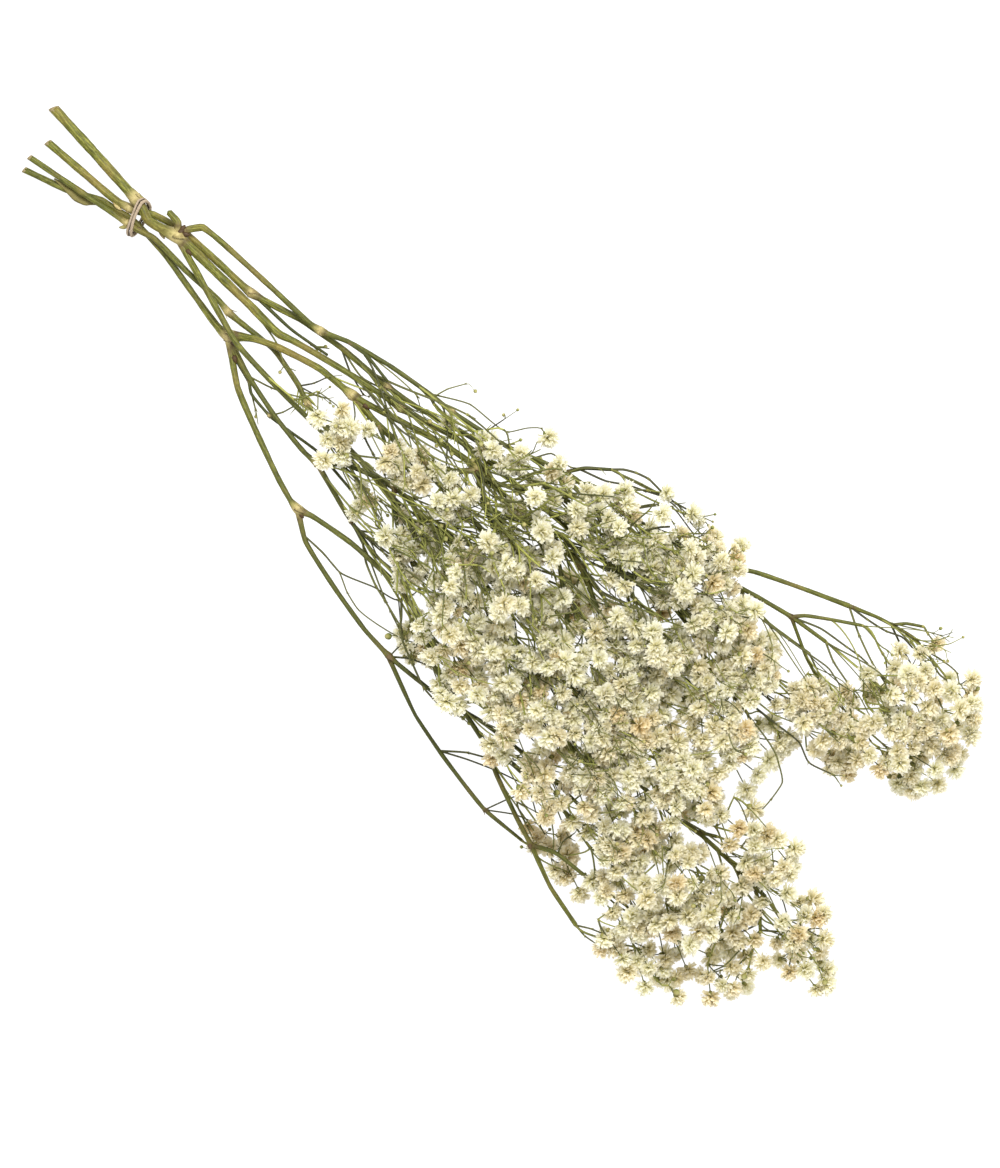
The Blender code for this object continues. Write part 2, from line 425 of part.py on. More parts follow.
class Grower:
    """Grows the forking twigs of one spray towards its blooms."""

    def __init__(self, around, rng, root, blooms):
        self.rng = rng
        self.root = root
        self.starts, self.ends, self.radii, self.balls, self.ball_radii = around
        self.blooms = blooms
        self.own = []
        self.lost = 0

    def clear(self, a, b, target=None):
        """True when a twig from a to b keeps off every other node and its own spray."""
        near = a + unit(b - a) * ROOT_SKIP if np.allclose(a, self.root) else a
        if min(near[2], b[2]) < TWIG_RADIUS + TWIG_FLOOR:
            return False
        if gap_to_rods(near, b, self.starts, self.ends, self.radii) < TWIG_RADIUS + NODE_GAP:
            return False
        if gap_to_balls(near, b, self.balls, self.ball_radii) < TWIG_RADIUS + NODE_GAP:
            return False
        others = [(p, radius) for p, radius in self.blooms if p is not target]
        if others and gap_to_balls(near, b, np.array([p for p, _ in others]),
                                   np.array([r * OWN_REACH for _, r in others])) < TWIG_RADIUS:
            return False
        for p, q in self.own:
            if np.allclose(p, a) or np.allclose(q, a):
                continue
            if gap_to_rods(a, b, p[None, :], q[None, :], np.array([TWIG_RADIUS])) < TWIG_RADIUS + OWN_GAP:
                return False
        return True

    def far_from_sisters(self, base, goal):
        """True when no twig leaves the same fork in almost the same direction."""
        way = unit(goal - base)
        return all(float(way @ unit(q - p)) < SISTER_COSINE for p, q in self.own if np.allclose(p, base))

    def pedicel(self, base, direction, bloom):
        """Straight or bent stalk to one bloom, or nothing when the way is blocked."""
        centre, radius = bloom
        for turn in range(STALK_TRIES):
            via = None
            start = base
            if turn:
                wide = STALK_SWAY[0] + STALK_SWAY[1] * turn
                sway = np.array([self.rng.uniform(-1, 1) for _ in range(3)]) * wide
                via = base + (centre - base) * self.rng.uniform(*STALK_BEND) + sway
                via[2] = max(via[2], LOWEST_FORK)
                start = via
                if turn_of(unit(via - base), via, centre) > MAX_TURN:
                    continue
            first = via if turn else centre
            if turn_of(direction, base, first) > STALK_TURN or not self.far_from_sisters(base, first):
                continue
            foot = centre - unit(centre - start) * radius * BASE_DROP
            if turn and not self.clear(base, via):
                continue
            if np.linalg.norm(foot - start) > MIN_STALK and self.clear(start, foot, centre):
                if turn:
                    self.own.append((base, via))
                self.own.append((start, foot))
                return {"at": base, "via": via, "bloom": bloom}
        self.lost += 1
        return None

    def halves_of(self, group, fork):
        """Two or three parts of a group; the bloom nearest the fork stands alone when three."""
        if len(group) < 3 or len(group) % 2 == 0:
            return split_group(group)
        first = min(group, key=lambda g: float(np.linalg.norm(g[0] - fork)))
        return ([first],) + split_group([g for g in group if g is not first])

    def grow(self, base, direction, group):
        """Tree of forks below a point; each entry is a stalk or a fork with its branches."""
        if len(group) == 1:
            stalk = self.pedicel(base, direction, group[0])
            return [stalk] if stalk else []
        centroid = np.array([p for p, _ in group]).mean(axis=0)
        nearest = min(float(np.linalg.norm(p - base)) for p, _ in group)
        reach = min(FORK_SHARE * float(np.linalg.norm(centroid - base)), FORK_NEAREST * nearest)
        for trial in range(FORK_TRIES):
            share = max(FORK_LEAST, 1.0 - FORK_STEP * trial)
            wide = FORK_SWAY[0] + FORK_SWAY[1] * trial
            sway = np.array([self.rng.uniform(-1, 1) for _ in range(3)]) * wide
            fork = base + unit(centroid - base) * reach * share + sway
            fork[2] = max(fork[2], LOWEST_FORK)
            if np.linalg.norm(fork - base) < MIN_FORK or turn_of(direction, base, fork) > MAX_TURN:
                continue
            onward = unit(fork - base)
            halves = self.halves_of(group, fork)
            ways = [np.array([p for p, _ in half]).mean(axis=0) for half in halves]
            if any(turn_of(onward, fork, way) > MAX_TURN for way in ways):
                continue
            if not self.far_from_sisters(base, fork) or not self.clear(base, fork):
                continue
            self.own.append((base, fork))
            children = [self.grow(fork, onward, half) for half in halves]
            children = [child[0] for child in children if child]
            if len(children) == 0:
                return []
            return [{"at": base, "fork": fork, "children": children}]
        stalks = [self.pedicel(base, direction, group[0])]
        self.lost += len(group) - 1
        return [stalks[0]] if stalks[0] else []


def note_twigs(room, name, entries):
    """Store the rods of a grown spray in the room."""
    for entry in entries:
        if "fork" in entry:
            room.add_rod(entry["at"], entry["fork"], TWIG_RADIUS, name)
            note_twigs(room, name, entry["children"])
        else:
            centre, radius = entry["bloom"]
            start = entry["at"]
            if entry["via"] is not None:
                room.add_rod(start, entry["via"], TWIG_RADIUS, name)
                start = entry["via"]
            room.add_rod(start, centre, TWIG_RADIUS, name)


def root_direction(name, root):
    """Direction of the branch that ends at the root of a spray."""
    rows_of = [rows for branches in BRANCHES.values() for rows in branches]
    for rows in rows_of:
        if math.dist(rows[-1][:3], root) < 0.01:
            return unit(np.array(rows[-1][:3], float) - np.array(rows[-2][:3], float))
    raise ValueError(name + " has no branch tip")


def lay_out():
    """Blooms and forks of every spray, the same on every run."""
    rng = random.Random(SEED)
    room = Room()
    stem_rods(room)
    blooms = scatter_blooms(room, rng)
    plan = {}
    for name, root, _ in SPRAYS:
        direction = root_direction(name, root)
        start = np.array(root, float) + direction * ROOT_GAP
        best = None
        low, high = box_round([start] + [p for p, _ in blooms[name]])
        around = room.others(name, low, high)
        for attempt in range(GROW_ATTEMPTS):
            grower = Grower(around, random.Random("%s %d" % (name, attempt)), start, blooms[name])
            grown = grower.grow(start, direction, blooms[name])
            if best is None or grower.lost < best[0]:
                best = (grower.lost, grown)
            if best[0] == 0:
                break
        entries = best[1]
        note_twigs(room, name, entries)
        plan[name] = (start, direction, entries)
        print(name, "blooms", len(blooms[name]), "left out", best[0])
    return plan


def frame_about(axis, turn=0.0):
    """Two unit vectors square to an axis."""
    helper = np.array([0.0, 0.0, 1.0]) if abs(axis[2]) < 0.9 else np.array([1.0, 0.0, 0.0])
    side = unit(np.cross(helper, axis))
    other = np.cross(axis, side)
    return side * math.cos(turn) + other * math.sin(turn), other * math.cos(turn) - side * math.sin(turn)


class Mesh:
    """Growing list of points and triangles."""

    def __init__(self):
        self.points = []
        self.faces = []

    def ring(self, centre, axis, radius, sides, turn=0.0):
        """Ring of points round an axis, counted the right-handed way."""
        side, other = frame_about(axis, turn)
        first = len(self.points)
        for k in range(sides):
            angle = 2 * math.pi * k / sides
            self.points.append(centre + radius * (side * math.cos(angle) + other * math.sin(angle)))
        return list(range(first, first + sides))

    def bridge(self, low, high):
        """Side wall between two rings of the same count, turned to fit best."""
        count = len(low)

        def stretch(turn):
            return sum(math.dist(self.points[low[i]], self.points[high[(i + turn) % count]])
                       for i in range(count))

        best = min(range(count), key=stretch)
        high = high[best:] + high[:best]
        for i in range(count):
            j = (i + 1) % count
            self.faces.append((low[i], low[j], high[j]))
            self.faces.append((low[i], high[j], high[i]))

    def cap(self, ring, outward_is_axis):
        """Flat end on a ring."""
        order = ring if outward_is_axis else ring[::-1]
        for i in range(1, len(order) - 1):
            self.faces.append((order[0], order[i], order[i + 1]))


def new_object(name, mesh, smooth):
    """Blender object from a mesh in millimetres."""
    data = bpy.data.meshes.new(name)
    data.from_pydata([tuple(float(c) * MM for c in p) for p in mesh.points], [], mesh.faces)
    data.update()
    data.polygons.foreach_set("use_smooth", [smooth] * len(data.polygons))
    obj = bpy.data.objects.new(name, data)
    bpy.context.scene.collection.objects.link(obj)
    return obj


def join_all(name, base, others):
    """Boolean union of a base with a collection of pieces, applied; the pieces are removed."""
    if others:
        group = bpy.data.collections.new(name + "_pieces")
        bpy.context.scene.collection.children.link(group)
        for piece in others:
            bpy.context.scene.collection.objects.unlink(piece)
            group.objects.link(piece)
        union = base.modifiers.new("union", "BOOLEAN")
        union.operation = "UNION"
        union.operand_type = "COLLECTION"
        union.collection = group
        union.solver = "MANIFOLD"
        bpy.context.view_layer.update()
        evaluated = base.evaluated_get(bpy.context.evaluated_depsgraph_get())
        joined = bpy.data.meshes.new_from_object(evaluated)
        base.modifiers.clear()
        base.data = joined
        for piece in others:
            bpy.data.objects.remove(piece)
        bpy.data.collections.remove(group)
    base.name = name
    base.data.name = name
    return base


def tidy(obj):
    """Cut the faces into triangles and drop loose scraps smaller than the main body."""
    work = bmesh.new()
    work.from_mesh(obj.data)
    bmesh.ops.triangulate(work, faces=work.faces)
    work.verts.ensure_lookup_table()
    left = set(work.verts)
    bodies = []
    while left:
        body = set()
        front = [left.pop()]
        while front:
            vert = front.pop()
            body.add(vert)
            for edge in vert.link_edges:
                far = edge.other_vert(vert)
                if far in left:
                    left.remove(far)
                    front.append(far)
        bodies.append(body)
    bodies.sort(key=len, reverse=True)
    scraps = [v for body in bodies[1:] for v in body]
    bmesh.ops.delete(work, geom=scraps, context="VERTS")
    work.to_mesh(obj.data)
    work.free()


def give_material(obj, name, colour, roughness):
    """Own Principled material."""
    material = bpy.data.materials.new(name)
    material.use_nodes = True
    shader = material.node_tree.nodes["Principled BSDF"]
    shader.inputs["Base Color"].default_value = colour
    shader.inputs["Roughness"].default_value = roughness
    material.diffuse_color = colour
    obj.data.materials.clear()
    obj.data.materials.append(material)


def sides_for(rows):
    """Number of sides that suits the thickest place of a branch."""
    thickest = max(row[3] for row in rows)
    return next(sides for limit, sides in SIDES if thickest >= limit)


def tube(name, rows):
    """Round branch along the rows of a table."""
    sides = sides_for(rows)
    centres = [np.array(row[:3], float) for row in rows]
    mesh = Mesh()
    rings = []
    turn_axis = unit(centres[1] - centres[0])
    side = frame_about(turn_axis)[0]
    for i, (centre, row) in enumerate(zip(centres, rows)):
        before = unit(centre - centres[max(i - 1, 0)]) if i else turn_axis
        after = unit(centres[min(i + 1, len(rows) - 1)] - centre) if i < len(rows) - 1 else before
        axis = unit(before + after)
        side = unit(side - axis * float(side @ axis))
        other = np.cross(axis, side)
        first = len(mesh.points)
        for k in range(sides):
            angle = 2 * math.pi * (k + 0.5) / sides
            mesh.points.append(centre + row[3] * (side * math.cos(angle) + other * math.sin(angle)))
        rings.append(list(range(first, first + sides)))
    for low, high in zip(rings, rings[1:]):
        for i in range(sides):
            j = (i + 1) % sides
            mesh.faces.append((low[i], low[j], high[j]))
            mesh.faces.append((low[i], high[j], high[i]))
    mesh.cap(rings[0], False)
    mesh.cap(rings[-1], True)
    return new_object(name, mesh, True)


def leaf_scrap():
    """Dry scrap of leaf that clings to the fourth stem."""
    mesh = Mesh()
    rings = []
    for x, y, z, half in LEAF_SCRAP:
        first = len(mesh.points)
        h = LEAF_THICKNESS / 2
        mesh.points += [np.array([x, y - half, z - h]), np.array([x, y + half, z - h]),
                        np.array([x, y + half, z + h]), np.array([x, y - half, z + h])]
        rings.append([first, first + 1, first + 2, first + 3])
    for low, high in zip(rings, rings[1:]):
        for i in range(4):
            j = (i + 1) % 4
            mesh.faces.append((low[i], low[j], high[j]))
            mesh.faces.append((low[i], high[j], high[i]))
    mesh.cap(rings[0], False)
    mesh.cap(rings[-1], True)
    return new_object("leaf", mesh, False)


def build_stems():
    """The four cut stems with their branches."""
    made = []
    for name, branches in BRANCHES.items():
        tubes = [tube(name + "_piece", rows) for rows in branches]
        if name == "stem_4":
            tubes.append(leaf_scrap())
        stem = join_all(name, tubes[0], tubes[1:])
        tidy(stem)
        give_material(stem, name, STEM_COLOUR, STEM_ROUGHNESS)
        made.append(stem)
    return made


def closed_curve(points, count):
    """Evenly stepped closed curve through the given points."""
    points = [np.array(p, float) for p in points]
    fine = []
    total = len(points)
    for i in range(total):
        a, b, c, d = (points[(i + k - 1) % total] for k in range(4))
        for step in range(CURVE_STEPS):
            t = step / CURVE_STEPS
            fine.append(0.5 * ((2 * b) + (c - a) * t + (2 * a - 5 * b + 4 * c - d) * t * t
                               + (3 * b - a - 3 * c + d) * t ** 3))
    lengths = [0.0]
    for i in range(len(fine)):
        lengths.append(lengths[-1] + float(np.linalg.norm(fine[(i + 1) % len(fine)] - fine[i])))
    out = []
    for k in range(count):
        goal = lengths[-1] * k / count
        i = max(j for j in range(len(fine)) if lengths[j] <= goal)
        share = (goal - lengths[i]) / (lengths[i + 1] - lengths[i])
        out.append(fine[i] + (fine[(i + 1) % len(fine)] - fine[i]) * share)
    return out


def build_tie():
    """Band of two strands lying side by side, held once round the stems."""
    centres = closed_curve(TIE_PATH, TIE_STEPS)
    middle = sum(centres) / len(centres)
    r = TIE_STRAND_RADIUS
    p = TIE_STRAND_PITCH / 2
    flat = p + TIE_FLAT * r
    section = [(p + r, 0.0), (flat, r), (0.0, TIE_WEB * r), (-flat, r),
               (-p - r, 0.0), (-flat, -r), (0.0, -TIE_WEB * r), (flat, -r)]
    mesh = Mesh()
    rings = []
    for i, centre in enumerate(centres):
        along = unit(centres[(i + 1) % TIE_STEPS] - centres[i - 1])
        outward = centre - middle
        outward = unit(outward - along * float(outward @ along))
        across = np.cross(outward, along)
        first = len(mesh.points)
        mesh.points += [centre + across * u + outward * v for u, v in section]
        rings.append(list(range(first, first + len(section))))
    for i in range(TIE_STEPS):
        low, high = rings[i], rings[(i + 1) % TIE_STEPS]
        for a in range(len(section)):
            b = (a + 1) % len(section)
            mesh.faces.append((low[a], high[b], low[b]))
            mesh.faces.append((low[a], high[a], high[b]))
    tie = new_object("tie", mesh, True)
    work = bmesh.new()
    work.from_mesh(tie.data)
    bmesh.ops.recalc_face_normals(work, faces=work.faces)
    if work.calc_volume(signed=True) < 0:
        bmesh.ops.reverse_faces(work, faces=work.faces)
    work.to_mesh(tie.data)
    work.free()
    give_material(tie, "tie", TIE_COLOUR, TIE_ROUGHNESS)
    return tie


def bloom_object(centre, axis, radius, rng):
    """One open floret: a star of petals over a small cup, kept above the surface."""
    mesh = Mesh()
    turn = rng.uniform(0, 2 * math.pi)
    side, other = frame_about(axis, turn)
    rim = []
    for k in range(PETALS * 2):
        tip = k % 2 == 0
        angle = math.pi * k / PETALS
        far = radius * (rng.uniform(*TIP_REACH) if tip else NOTCH * rng.uniform(*NOTCH_SPREAD))
        rise = radius * (TIP_RISE + rng.uniform(-TIP_SPREAD, TIP_SPREAD) if tip
                         else rng.uniform(-NOTCH_RISE, NOTCH_RISE))
        rim.append(len(mesh.points))
        outward = side * math.cos(angle) + other * math.sin(angle)
        mesh.points.append(centre + far * outward + axis * rise)
    heart = len(mesh.points)
    mesh.points.append(centre + axis * radius * HEART_RISE)
    cup = []
    for k in range(3):
        angle = 2 * math.pi * k / 3
        cup.append(len(mesh.points))
        mesh.points.append(centre - axis * radius * BASE_DROP
                           + CUP_RADIUS * (side * math.cos(angle) + other * math.sin(angle)))
    count = len(rim)
    for k in range(count):
        mesh.faces.append((rim[k], rim[(k + 1) % count], heart))
    owner = [int((3 * k + 1.5) // count) % 3 for k in range(count)]
    for k in range(count):
        nxt = (k + 1) % count
        mesh.faces.append((rim[nxt], rim[k], cup[owner[k]]))
        if owner[nxt] != owner[k]:
            mesh.faces.append((rim[nxt], cup[owner[k]], cup[owner[nxt]]))
    mesh.faces.append((cup[0], cup[2], cup[1]))
    lowest = min(float(p[2]) for p in mesh.points)
    lift = -lowest if centre[2] < REST_HEIGHT else max(0.0, -lowest)
    mesh.points = [p + np.array([0.0, 0.0, lift]) for p in mesh.points]
    return new_object("bloom", mesh, False), lift


def phase_of(mesh, ring, centre, axis):
    """Turn about an axis that sets a new ring in line with an earlier one."""
    side, other = frame_about(axis)
    middle = sum(mesh.points[i] for i in ring) / len(ring)
    arm = mesh.points[ring[0]] - middle
    return math.atan2(float(arm @ other), float(arm @ side))


def fork_faces(mesh, from_ring, at, onward, targets):
    """Small pyramid at a fork; gives its entry ring and one exit ring for each target."""
    side, other = frame_about(onward)
    straight = phase_of(mesh, from_ring, at, onward)
    angles = [math.atan2(float((t - at) @ other), float((t - at) @ side)) for t in targets]
    best = None
    for step in range(PHASE_STEPS):
        phase = 2 * math.pi * step / (3 * PHASE_STEPS)
        used = []
        twist = (phase - straight) % (2 * math.pi / 3)
        cost = min(twist, 2 * math.pi / 3 - twist) ** 2
        for angle in angles:
            options = []
            for k in range(3):
                if k not in used:
                    diff = (angle - (phase + 2 * math.pi * k / 3 + math.pi / 3)) % (2 * math.pi)
                    options.append((min(diff, 2 * math.pi - diff), k))
            miss, k = min(options)
            used.append(k)
            cost += miss * miss
        if best is None or cost < best[0]:
            best = (cost, phase, used)
    _, phase, used = best
    size = TWIG_RADIUS * FORK_GROWTH
    ring = mesh.ring(at - onward * size * FORK_FOOT, onward, size, 3, phase)
    apex = len(mesh.points)
    mesh.points.append(at + onward * size * FORK_TIP)
    exits = [[ring[k], ring[(k + 1) % 3], apex] for k in used]
    for k in range(3):
        if k not in used:
            mesh.faces.append((ring[k], ring[(k + 1) % 3], apex))
    return ring, exits


def draw_twigs(mesh, from_ring, entry, pieces, rng):
    """Walls of one entry of the tree, from the ring it leaves."""
    if "fork" in entry:
        onward = unit(entry["fork"] - entry["at"])
        targets = [child["fork"] if "fork" in child else
                   (child["via"] if child["via"] is not None else child["bloom"][0])
                   for child in entry["children"]]
        ring, exits = fork_faces(mesh, from_ring, entry["fork"], onward, targets)
        mesh.bridge(from_ring, ring)
        for child, leave in zip(entry["children"], exits):
            draw_twigs(mesh, leave, child, pieces, rng)
        return
    centre, radius = entry["bloom"]
    start = entry["at"]
    if entry["via"] is not None:
        onward = unit(unit(entry["via"] - start) + unit(centre - entry["via"]))
        phase = phase_of(mesh, from_ring, entry["via"], onward)
        ring = mesh.ring(entry["via"], onward, TWIG_RADIUS, 3, phase)
        mesh.bridge(from_ring, ring)
        from_ring = ring
        start = entry["via"]
    onward = unit(centre - start)
    lean = np.array([rng.uniform(-LEAN_SPREAD, LEAN_SPREAD) for _ in range(3)])
    lean[2] += LEAN_UP if centre[2] > MID_HEIGHT else LEAN_DOWN
    axis = unit(onward + lean)
    bloom, lift = bloom_object(centre, axis, radius, rng)
    pieces.append(bloom)
    centre = centre + np.array([0.0, 0.0, lift])
    onward = unit(centre - start)
    end = centre - axis * radius * (BASE_DROP - CUP_BITE)
    ring = mesh.ring(end, onward, TWIG_RADIUS, 3, phase_of(mesh, from_ring, end, onward))
    mesh.bridge(from_ring, ring)
    mesh.cap(ring, True)


def build_sprays():
    """Every spray: its forking twigs joined with its blooms."""
    rng = random.Random(SEED + 1)
    made = []
    for name, (start, direction, entries) in lay_out().items():
        mesh = Mesh()
        foot = mesh.ring(start, direction, ROOT_RADIUS, 3)
        mesh.cap(foot, False)
        pieces = []
        draw_twigs(mesh, foot, entries[0], pieces, rng)
        twigs = new_object(name, mesh, False)
        spray = join_all(name, twigs, pieces)
        tidy(spray)
        give_material(spray, name, BLOOM_COLOUR, BLOOM_ROUGHNESS)
        made.append(spray)
    return made


def main():
    """Clear the scene and build the bunch."""
    for obj in list(bpy.data.objects):
        bpy.data.objects.remove(obj)
    made = build_stems()
    made.append(build_tie())
    made += build_sprays()
    total = 0
    for obj in made:
        total += sum(len(p.vertices) - 2 for p in obj.data.polygons)
    print("nodes", len(made), "triangles", total)


main()
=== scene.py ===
import json
import math
import random

import bpy
import numpy as np
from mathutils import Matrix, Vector

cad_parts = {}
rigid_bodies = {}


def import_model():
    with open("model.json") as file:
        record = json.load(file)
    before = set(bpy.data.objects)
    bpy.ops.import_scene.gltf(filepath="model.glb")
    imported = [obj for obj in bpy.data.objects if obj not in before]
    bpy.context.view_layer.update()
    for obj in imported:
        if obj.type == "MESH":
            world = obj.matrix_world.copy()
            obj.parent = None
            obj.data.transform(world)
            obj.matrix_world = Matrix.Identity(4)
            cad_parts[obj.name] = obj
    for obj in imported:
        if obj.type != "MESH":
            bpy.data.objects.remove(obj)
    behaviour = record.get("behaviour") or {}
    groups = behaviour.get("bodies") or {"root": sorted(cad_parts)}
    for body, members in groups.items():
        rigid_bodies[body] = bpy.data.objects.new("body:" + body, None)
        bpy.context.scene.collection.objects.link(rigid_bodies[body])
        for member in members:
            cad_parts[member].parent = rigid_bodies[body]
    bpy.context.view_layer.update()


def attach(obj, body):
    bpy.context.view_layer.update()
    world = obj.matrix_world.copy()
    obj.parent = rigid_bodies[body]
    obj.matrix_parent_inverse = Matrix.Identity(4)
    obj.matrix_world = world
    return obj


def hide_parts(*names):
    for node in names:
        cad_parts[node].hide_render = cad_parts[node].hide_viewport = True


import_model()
mm = 0.001

# how the sprays fill their room; the solids under them grow by the same numbers
growth = {
    "seed": 41, "loneClump": 0.6, "loneShare": 0.85, "boxMargin": 14.0, "attempts": 20,
    "nodeGap": 0.35, "rootSkip": 2.2, "rootGap": 0.3, "bloomRadius": 6.7, "bloomSpacing": 10.6,
    "bloomReach": 0.9, "baseDrop": 0.42, "twigRadius": 0.46, "minFork": 3.4, "maxTurn": 70.0,
    "ownReach": 0.6, "sisterCosine": 0.88,
    "bloomTries": 160, "stalkTries": 40, "forkTries": 90, "lowest": 1.2,
}

